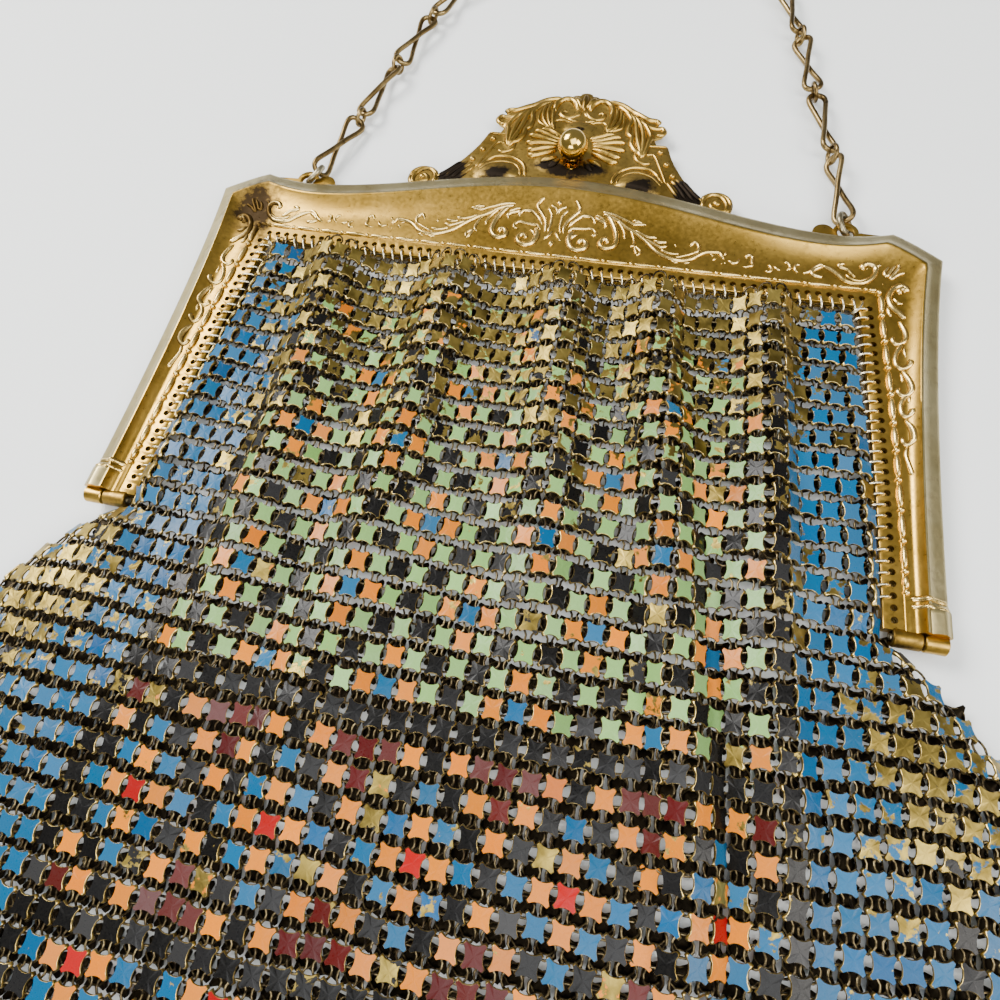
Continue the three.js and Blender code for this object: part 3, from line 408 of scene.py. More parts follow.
def stations():
    """Rails of the right half: inner, border, ridge, outer, and the foot's bulge."""
    rows = []
    for s in np.linspace(0, 1, 71):
        x = s * APEX_HALF
        ye = float(top_edge_y(x))
        rows.append(((s * (OPEN_TOP - OPEN_CORNER), INNER_TOP_Y),
                     (s * (OPEN_TOP + BORDER_GAP - OPEN_CORNER), BORDER_Y),
                     (s * (APEX_HALF - 0.4 * BEVEL_TOP), ye - BEVEL_TOP + 0.5 * s ** 6), (x, ye), 0))
    y0 = INNER_TOP_Y - OPEN_CORNER
    for s in np.linspace(0, 1, 7)[1:]:
        a = rows[70]
        inner = (lerp(a[0][0], OPEN_TOP, s), lerp(a[0][1], y0, s))
        border = (lerp(a[1][0], OPEN_TOP + BORDER_GAP, smooth(s * 0.9 + 0.1)),
                  lerp(BORDER_Y, BORDER_Y - OPEN_CORNER, s ** 2))
        ridge = (lerp(a[2][0], CORNER_HALF - BEVEL_SIDE - 0.2, s),
                 lerp(a[2][1], CORNER_Y - 0.6 * BEVEL_TOP, s ** 1.25))
        outer = (lerp(APEX_HALF, CORNER_HALF, s), lerp(a[3][1], CORNER_Y, s ** 1.15))
        rows.append((inner, border, ridge, outer, 0))
    strap = (CORNER_Y - STRAP_Y) / (CORNER_Y - FOOT_Y)
    ts = np.concatenate([np.linspace(0, strap, 56)[1:], [strap + 0.006], np.linspace(strap + 0.02, 1, 8)])
    for t in ts:
        y = lerp(y0, FOOT_Y, t)
        yo = lerp(CORNER_Y, FOOT_Y, t)
        b = float(smooth((t - strap + 0.001) / 0.02))
        rows.append(((float(arm_inner_x(y)), y),
                     (float(arm_inner_x(y)) + BORDER_GAP, lerp(BORDER_Y - OPEN_CORNER, FOOT_Y, t)),
                     (float(arm_outer_x(yo)) - BEVEL_SIDE - 0.35 * b,
                      lerp(CORNER_Y - 0.6 * BEVEL_TOP, FOOT_Y, t)),
                     (float(arm_outer_x(yo)), yo), b))
    return rows


RIGHT = stations()
LEFT = [tuple((-p[0], p[1]) for p in r[:4]) + (r[4],) for r in RIGHT[1:]][::-1]
RAILS = LEFT + RIGHT
INNER, BORDER, RIDGE, OUTER = (np.array([r[i] for r in RAILS], float) for i in range(4))
BULGE = np.array([r[4] for r in RAILS], float)


def field_z(t):
    """Height above the seam of the field between border (0) and ridge (1)."""
    return np.where(t < 0.38, 1.22, 1.22 + 1.58 * np.clip((t - 0.38) / 0.62, 0, 1) ** 1.9)


def moulding(face):
    """Points, faces and materials of a frame half; face is 1 for the front and -1 for the back."""
    def along(a, b, d):
        length = np.linalg.norm(b - a, axis=1)[:, None]
        return a + (b - a) * d / length

    rows = [(INNER, FLANGE_Z - 0.12), (along(INNER, BORDER, 0.14), FLANGE_Z),
            (along(BORDER, INNER, 0.55), FLANGE_Z),
            (along(BORDER, INNER, 0.45), FLANGE_Z + 0.16), (along(BORDER, INNER, 0.3), FLANGE_Z + 0.2),
            (along(BORDER, INNER, -0.15), FLANGE_Z + 0.22)]
    for t in (0.12, 0.24, 0.38, 0.5, 0.6, 0.7, 0.78, 0.86, 0.92, 0.965):
        rows.append((lerp(BORDER, RIDGE, t), float(field_z(t))))
    rows += [(lerp(BORDER, RIDGE, 0.99), SEAM_Z - 0.03), (along(RIDGE, OUTER, 0.12), SEAM_Z),
             (along(RIDGE, OUTER, 0.4), SEAM_Z - 0.04), (along(RIDGE, OUTER, 0.6), SEAM_Z - 0.25),
             (along(RIDGE, OUTER, 0.75), SEAM_Z - 0.42)]
    for t in (0.35, 0.55, 0.75, 0.9):
        base = along(RIDGE, OUTER, 0.75)
        z = lerp(SEAM_Z - 0.42, 1.0, t ** 0.9) + BULGE * (1.25 * math.sin(math.pi * min(1, t * 0.95)))
        rows.append((lerp(base, OUTER, t), z))
    rows += [(OUTER, 0.62 + BULGE * 0.9), (along(OUTER, RIDGE, -0.04), 0.42 + BULGE * 0.6), (OUTER, 0.15),
             (along(OUTER, RIDGE, 1.0), 0.15), (RIDGE, SEAM_Z - 1.0), (lerp(BORDER, RIDGE, 0.6), 0.55),
             (BORDER, 0.15), (INNER, 0.15)]
    pts = []
    for xy, z in rows:
        z = np.broadcast_to(np.asarray(z, float), (len(xy),))
        pts.append(np.column_stack([xy, SEAM_Z + face * z]))
    n = len(rows)
    v = np.stack(pts, 1).reshape(-1, 3)
    f = grid_faces(len(RAILS), n, close_cols=True, flip=face > 0)
    first = list(range(n))
    last = [(len(RAILS) - 1) * n + k for k in range(n)]
    f += [first[::-1] if face < 0 else first, last if face < 0 else last[::-1]]
    rim = range(17, 27)   # the rows from the ridge to the outer edge
    index = [int(k % n in rim) for k in range((len(RAILS) - 1) * n)] + [0, 0]
    return v, f, index


def hole_line():
    """Centres of the flange's holes from the left foot up, across and down, and the way inward at each."""
    half = round(OPEN_TOP / PITCH + 0.5)
    top = [((i + 0.5 - half) * PITCH, 0.0) for i in range(2 * half)]
    first = INNER_TOP_Y - 0.25 * PITCH
    count = math.floor((first - FOOT_Y - 0.6 * PITCH) / PITCH) + 1
    arm = []
    for i in range(count):
        y = first - i * PITCH
        arm.append((float(arm_inner_x(y)) + 1.7, y))
    left = [(-x, y) for x, y in arm[::-1]]
    pts = np.array(left + top + arm)
    inward = np.array([(1, 0)] * len(arm) + [(0, -1)] * len(top) + [(-1, 0)] * len(arm), float)
    return pts, inward


HOLES, HOLE_IN = hole_line()


def cutter(name, shapes):
    """Closed prisms from outlines and heights, joined, only for cutting."""
    b = Build()
    for outline, z0, z1 in shapes:
        o = np.asarray(outline, float)
        n = len(o)
        v = np.concatenate([np.column_stack([o, np.full(n, z0)]), np.column_stack([o, np.full(n, z1)])])
        f = [[i, (i + 1) % n, n + (i + 1) % n, n + i] for i in range(n)]
        f += [list(range(n))[::-1], list(range(n, 2 * n))]
        b.add(v, f)
    return make(name, b.points(), b.f, [], body=None)


def circle(x, y, r, n, start=0.0):
    a = start + 2 * np.pi * np.arange(n) / n
    return np.column_stack([x + r * np.cos(a), y + r * np.sin(a)])


def apply_modifiers(ob):
    bpy.context.view_layer.update()
    graph = bpy.context.evaluated_depsgraph_get()
    me = bpy.data.meshes.new_from_object(ob.evaluated_get(graph), preserve_all_data_layers=True,
                                         depsgraph=graph)
    ob.modifiers.clear()
    ob.data = me


def cut(ob, tool, kind="DIFFERENCE"):
    """Takes the tool's solids out of ob, or joins them to it; the tool is removed."""
    mod = ob.modifiers.new("cut", "BOOLEAN")
    mod.operation = kind
    mod.solver = "EXACT"
    mod.object = tool
    apply_modifiers(ob)
    bpy.data.objects.remove(tool)


def paint(ob, grime_and_shade):
    """Sets the grime of each point from a function of the points in millimetres."""
    co = np.array([p.co for p in ob.data.vertices]) * 1000
    co[:, 1] -= SHIFT_Y
    a = ob.data.attributes.new("dirt_and_shade", "FLOAT", "POINT")
    a.data.foreach_set("value", grime_and_shade(co).astype(np.float32))


def sharpen(ob, degrees):
    """Smooth shading with sharp edges above an angle."""
    me = ob.data
    me.polygons.foreach_set("use_smooth", np.ones(len(me.polygons), bool))
    me.set_sharp_from_angle(angle=math.radians(degrees))


# The cloth of plates

RIDGES = [  # x at y = -5, -55 and -105, lift at the same, half widths left and right
    ((-55.0, -58.0, -66.0), (1.6, 1.4, 1.0), (4.5, 5.0)),
    ((-42.0, -38.0, -40.0), (4.2, 3.2, 1.0), (7.5, 9.5)),
    ((-17.0, -17.3, -20.0), (4.2, 3.2, 0.8), (9.0, 8.0)),
    ((4.5, 10.0, 14.0), (4.2, 3.3, 0.9), (9.0, 7.5)),
    ((22.5, 29.5, 38.5), (4.2, 3.6, 1.8), (8.0, 6.0)),
    ((43.0, 45.5, 51.0), (4.2, 3.5, 1.4), (7.5, 4.8)),
]
CREASES = [  # x at the same heights, depth, half width
    ((12.5, 24.0, 34.0), (0.0, 1.0, 1.5), 2.3),
    ((33.0, 36.2, 44.0), (0.0, 1.2, 1.7), 2.3),
    ((-28.0, -27.0, -30.0), (0.0, 0.6, 0.7), 3.0),
]
HEIGHTS = (-5.0, -55.0, -105.0, -150.0)


def bag_half(y):
    """Half the cloth's width at height y."""
    start = np.minimum(arm_inner_x(y) - 0.9, 62.6)
    t = np.clip((-64.3 - y) / 46, 0, 1)
    return lerp(start, 86.3, 1 - (1 - t) ** 2.9)


def at_heights(table, y, last):
    return float(np.interp(-y, [-h for h in HEIGHTS], list(table) + [last]))


def front_z(x, y):
    """Height of the front layer, with its gathers."""
    s = (MOUTH_Y - y) / 160
    z = lerp(3.3, 7.0, smooth(s / 0.42))
    z = lerp(z, 3.5, smooth((s - 0.5) / 0.5))
    z = np.full_like(x, z)
    for xs, lifts, (wl, wr) in RIDGES:
        xc = at_heights(xs, y, xs[2] * 1.04)
        lift = at_heights(lifts, y, 0.15)
        d = (x - xc) / np.where(x < xc, wl, wr)
        z += lift * np.where(np.abs(d) < 1, (0.5 + 0.5 * np.cos(np.pi * np.clip(d, -1, 1))) ** 0.85, 0)
    for xs, depths, w in CREASES:
        xc = at_heights(xs, y, xs[2] * 1.05)
        z -= at_heights(depths, y, 0.4) * np.exp(-((x - xc) / w) ** 2 * 1.6)
    return z


def section(y, back=False):
    """x, z and the arc length from MID_X along one layer at height y."""
    half = float(bag_half(y))
    u = np.linspace(-1, 1, 601)
    x = u * half
    above = float(smooth((y + 66) / 6))
    edge = lerp(2.0, 2.9, above)
    if back:
        r = np.sqrt(np.maximum(0, 1 - np.abs(u) ** 14))
        z = lerp(lerp(1.6, 2.6, above), 1.02, r)
    else:
        r = np.sqrt(np.maximum(0, 1 - np.abs(u) ** lerp(7, 26, above)))
        z = lerp(edge, front_z(x, y), r)
    ds = np.hypot(np.diff(x), np.diff(z))
    s = np.concatenate([[0], np.cumsum(ds)])
    s -= np.interp(MID_X, x, s)
    return x, z, s


def spread():
    """Column pitch left and right of the middle at each half row, smoothed downwards."""
    out = []
    for i in range(-1, 2 * ROWS + 1):
        y = ROW0_Y - ROW * i / 2
        _, _, s = section(y)
        fit = (min(1.0, -s[0] / (21.4 * COL)), min(1.0, s[-1] / (20.6 * COL)))
        out.append((y, *fit))
    out = np.array(out)
    inside = out[:, 0] > -64
    last = np.nonzero(inside)[0][-1]
    for c in (1, 2):
        start = out[last, c]
        t = smooth((-64 - out[:, 0]) / 48)
        out[~inside, c] = lerp(start, 1.0, t[~inside])
    kernel = np.ones(7) / 7
    for c in (1, 2):
        padded = np.pad(out[:, c], 3, mode="edge")
        out[:, c] = np.convolve(padded, kernel, "valid")
    return out


SPREAD = spread()


def cloth(ks, y, back=False):
    """Points of columns ks at height y, and whether each column is there."""
    x, z, s = section(y, back)
    ys = SPREAD[::-1, 0]
    gl = float(np.interp(y, ys, SPREAD[::-1, 1]))
    gr = float(np.interp(y, ys, SPREAD[::-1, 2]))
    ks = np.asarray(ks, float)
    want = COL * ks * np.where(ks < 0, gl, gr)
    on = (want > s[0] + 0.2) & (want < s[-1] - 0.2)
    px, pz = np.interp(want, s, x), np.interp(want, s, z)
    sag = 1.1 * (px / 50) ** 2 * math.exp(-((y + 80) / 70) ** 2)
    wave = 0.22 * np.sin(px * 0.21 + y * 0.13) + 0.15 * np.sin(px * 0.53 - y * 0.31)
    return np.column_stack([px, np.full_like(px, y) + np.minimum(sag, 2.0) + wave, pz]), on


def frames(ks, y, back=False):
    """Places and axes of plates or rings at columns ks and height y."""
    p, on = cloth(ks, y, back)
    a, _ = cloth(np.asarray(ks) - 0.5, y, back)
    b, _ = cloth(np.asarray(ks) + 0.5, y, back)
    up, _ = cloth(ks, y + 1.6, back)
    dn, _ = cloth(ks, y - 1.6, back)
    ex = b - a
    width = np.linalg.norm(ex, axis=1)
    ex /= np.maximum(width, 1e-6)[:, None]
    ey = up - dn
    ey -= ex * np.sum(ey * ex, 1)[:, None]
    ey /= np.linalg.norm(ey, axis=1)[:, None]
    n = np.cross(ex, ey)
    if back:
        ex, n = -ex, -n
    return p, ex, ey, n, on, width


def turned(ex, ey, n, amount):
    """Small random tilts of each frame, in radians."""
    k = len(ex)
    a, b, c = (rng.normal(0, amount, k)[:, None] for _ in range(3))
    ex2 = ex + n * a + ey * c * 0.6
    ey2 = ey + n * b - ex * c * 0.6
    ex2 /= np.linalg.norm(ex2, axis=1)[:, None]
    ey2 -= ex2 * np.sum(ex2 * ey2, 1)[:, None]
    ey2 /= np.linalg.norm(ey2, axis=1)[:, None]
    return ex2, ey2, np.cross(ex2, ey2)


def star(detail):
    """One four-pointed plate with bent corners: points, faces and material of each face."""
    quarter = [(1.24, 0.0), (1.34, 0.64), (1.76, 1.36), (1.42, 1.72), (0.66, 1.36)]
    wide, tall = 1.24, 1.30   # the plate's notches across and up
    half = quarter + [(-qy * wide / tall, qx * tall / wide) for qx, qy in quarter]
    o = np.array(half + [(-qx, -qy) for qx, qy in half])
    if not detail:
        o = o[[0, 2, 3, 5, 7, 8, 10, 12, 13, 15, 17, 18]]
    n = len(o)
    r = np.hypot(o[:, 0], o[:, 1])
    tip = smooth((r - 1.62) / 0.55)
    levels = [
        (o * 0.95, -0.10 - 0.46 * tip),
        (o * 1.00, 0.05 - 0.42 * tip),
        (o * 0.975, 0.20 - 0.28 * tip),
        (o * (0.945 - 0.03 * tip[:, None]), 0.29 - 0.05 * tip),
    ]
    if not detail:
        levels = [levels[0], levels[1], levels[3]]
    v = [np.column_stack([p, z]) for p, z in levels]
    v = np.concatenate(v + [[[0, 0, 0.31]], [[0, 0, -0.1]]])
    f, m = [], []
    last = len(levels) - 1
    for k in range(last):
        for i in range(n):
            j = (i + 1) % n
            f.append([k * n + i, k * n + j, (k + 1) * n + j, (k + 1) * n + i])
            m.append(0)
    c = len(levels) * n
    for i in range(n):
        j = (i + 1) % n
        f.append([last * n + i, last * n + j, c])
        m.append(1)
        f.append([j, i, c + 1])
        m.append(0)
    return v, f, m


def triangles(faces, mats):
    t, m = [], []
    for f, k in zip(faces, mats):
        for i in range(1, len(f) - 1):
            t.append([f[0], f[i], f[i + 1]])
            m.append(k)
    return np.array(t), np.array(m)


def torus(rx, ry, wire, steps, sides):
    v = []
    for i in range(steps):
        a = 2 * math.pi * (i + 0.5) / steps
        for k in range(sides):
            b = 2 * math.pi * (k + 0.5) / sides
            v.append(((rx + wire * math.cos(b)) * math.cos(a), (ry + wire * math.cos(b)) * math.sin(a),
                      wire * math.sin(b)))
    return np.array(v), grid_faces(steps, sides, close_cols=True, close_rows=True, flip=True)


def scatter(shape, faces, mats, place, ex, ey, n, sx):
    """Copies of one shape at many places, sx times as wide, as one mesh."""
    t, m = triangles(faces, mats)
    v = (place[:, None, :] + shape[None, :, 0:1] * sx[:, None, None] * ex[:, None, :]
         + shape[None, :, 1:2] * ey[:, None, :] + shape[None, :, 2:3] * n[:, None, :])
    f = (t[None, :, :] + (np.arange(len(place)) * len(shape))[:, None, None]).reshape(-1, 3)
    return v.reshape(-1, 3), f, np.tile(m, len(place))


INK = {"U": (18, 84, 122), "O": (196, 112, 16), "G": (120, 158, 92), "K": (3, 3, 4),
       "R": (150, 12, 14), "M": (72, 18, 14)}
BANDS = {"A": "RROK", "B": "ROKU", "C": "OKUO", "D": "KUOR"}
BAND_ROWS = {20: "A", 21: "B", 22: "C", 23: "D", 24: "C", 25: "B", 26: "A",
             28: "D", 29: "C", 30: "B", 31: "A", 32: "B", 33: "C", 34: "D"}


def ink(k, r):
    """Colour of the plate in column k and row r."""
    a = abs(k)
    if a in (15, 21):
        return "K"
    if a > 15:
        return "U"
    if r in (19, 27, 35):
        return "K"
    c = (k + 3) % 6
    if r < 19:
        for centre_c, centre_r in ((0, 0), (3, 3)):
            dc = (c - centre_c + 3) % 6 - 3
            dr = (r - centre_r + 3) % 6 - 3
            if dc == 0 and dr == 0:
                return "U"
            if abs(dc) + abs(dr) == 1:
                return "O"
        return "G" if (c + r) % 2 == 0 else "K"
    code = BANDS[BAND_ROWS[r]][min(c, 6 - c)]
    if code == "R" and BAND_ROWS[r] != "D":
        return "M"
    return code


def plate_looks(ks, y, r, x):
    tint, wear = [], []
    for k, px in zip(ks, x):
        c = np.array(srgb(*INK[ink(int(k), r)]))
        c = c * (1 + 0.10 * rng.normal()) + 0.012 * rng.normal()
        c = np.clip(c, 0.002, 1)
        top = math.exp(-max(0.0, ROW0_Y - y) / 17)
        side = math.exp(-(((abs(px) - 70) / 13) ** 2 + ((y + 84) / 17) ** 2))
        fold = 0.12 * math.exp(-((y + 30) / 26) ** 2)
        w = 0.10 + 0.62 * top * (1 if abs(px) < 50 else 0.25) + 0.50 * side + fold * (abs(px) < 52)
        w += abs(rng.normal(0, 0.13))
        if rng.random() < 0.035:
            w += 0.4
        tint.append((*c, 1))
        wear.append(w)
    return np.array(tint), np.array(wear)


def gather(rows):
    """Rows of arrays joined column by column."""
    return [np.concatenate(column) for column in zip(*rows)]


def pieces(name, back, shape, faces, mats, rows):
    """Copies of a shape as mesh data: two pieces for the front layer, one for the back."""
    place, ex, ey, n, sx, *looks = gather(rows)
    half = len(place) if back else len(place) // 2
    for i, part in enumerate((slice(0, half), slice(half, None))[:1 if back else 2]):
        v, f, m = scatter(shape, faces, mats, place[part], ex[part], ey[part], n[part], sx[part])
        yield f"{name}_{i + 1}", v, f, m, [np.repeat(c[part], len(shape), 0) for c in looks]


def layer(name, back):
    """All plates and rings of one layer."""
    rows = []
    ks = np.arange(-25, 26)
    for r in range(ROWS):
        y = ROW0_Y - ROW * (r + (0.5 if back and r < ROWS - 1 else 0))
        p, ex, ey, n, on, width = frames(ks + (0.5 if back else 0), y, back)
        if y > SHOULDER_Y:
            on &= (ks < 21) & (ks > -22)
        ex, ey, n = turned(ex, ey, n, 0.05 + 0.06 * math.exp(-max(0.0, -y) / 30))
        q = p + n * (0.25 + rng.normal(0, 0.05, len(p))[:, None])
        looks = plate_looks(ks[on], y, r, p[on, 0])
        rows.append((q[on], ex[on], ey[on], n[on], np.clip(width[on] / COL, 0.84, 1.0), *looks))
    for piece, v, f, m, (tint, wear) in pieces(f"{name}_plates", back, *star(detail=not back), rows):
        # The back layer's plates take the painted-shade metal, the front ones bare brass.
        make(piece, v, f, [M_BACK_PAINTED_SHADE if back else M_PLATE, M_ENAMEL], m,
             replaces=("mesh_bag",), attrs={"tint": tint, "wear": wear}, flat_index=1)
    rows = []
    ks = np.arange(-25.5, 26)
    for r in range(ROWS + 1):
        y = ROW0_Y - ROW * (r - 0.5)
        p, ex, ey, n, on, width = frames(ks, y, back)
        if y > SHOULDER_Y:
            on &= (ks < 21) & (ks > -22)
        ex, ey, n = turned(ex, ey, n, 0.07)
        rows.append(((p - n * 0.12)[on], ex[on], ey[on], n[on], np.clip(width[on] / COL, 0.84, 1.0)))
    shape, faces = torus(1.42, 1.38, 0.19, 8 if back else 12, 3 if back else 5)
    for piece, v, f, _, _ in pieces(f"{name}_rings", back, shape, faces, [0] * len(faces), rows):
        make(piece, v, f, [M_RING])


layer("front", False)
layer("back", True)


# Wire coil that hooks the cloth to the flange

def coil():
    steps = 14
    path = []
    for i in range(1, len(HOLES) - 2):
        for j in range(steps):
            t = j / steps
            h = lerp(HOLES[i], HOLES[i + 1], t)
            d = lerp(HOLE_IN[i], HOLE_IN[i + 1], t)
            d = d / np.linalg.norm(d)
            a = 2 * math.pi * t
            out = 1.5 * (1 - math.cos(a))
            z = SEAM_Z + 1.36 * math.sin(a) * (1 if a < math.pi else 1.1)
            path.append((h[0] + d[0] * out, h[1] + d[1] * out, z))
    v, f = sweep(np.array(path), COIL_R, 6, up=None)
    make("coil", v, f, [M_COIL])


coil()


# Frame halves

def dirt_of(v):
    """Patina: heavy at the left corner, some at the top stain and in the corners."""
    x, y, z = v[:, 0], v[:, 1], v[:, 2]
    d = 0.85 * np.exp(-(((x + 64) / 6.5) ** 2 + ((y - 6) / 9) ** 2))
    d += 0.45 * np.exp(-(((x + 60.5) / 2.5) ** 2 + ((y + 14) / 14) ** 2))
    d += 0.55 * np.exp(-(((x - 12) / 7) ** 2 + ((y - 21.5) / 1.6) ** 2))
    d += 0.3 * np.exp(-(((x + 68) / 3) ** 2 + ((y + 30) / 22) ** 2))
    return d + 0.04


def frame_half(face, name, node_name):
    v, f, index = moulding(face)
    ob = make(name, v, f, [M_FRAME, M_RIM], index, replaces=(node_name,))
    z0 = SEAM_Z - (0.0 if face > 0 else 2.0)
    cut(ob, cutter("cut_holes", [(circle(x, y, HOLE_R, 12), z0, z0 + 2.0) for x, y in HOLES]))
    if face < 0:
        room = CREST_HALF + 3.6
        xs = np.linspace(-room, room, 41)
        low = np.column_stack([xs, top_edge_y(xs) - 1.7])
        outline = np.concatenate([low, [[room, 40], [-room, 40]]])
        cut(ob, cutter("cut_crest", [(outline, CREST_Z0 - 0.3, SEAM_Z + 1)]))
    paint(ob, dirt_of)
    sharpen(ob, 45)


frame_half(1, "front_moulding", "front_frame")
frame_half(-1, "back_moulding", "back_frame")


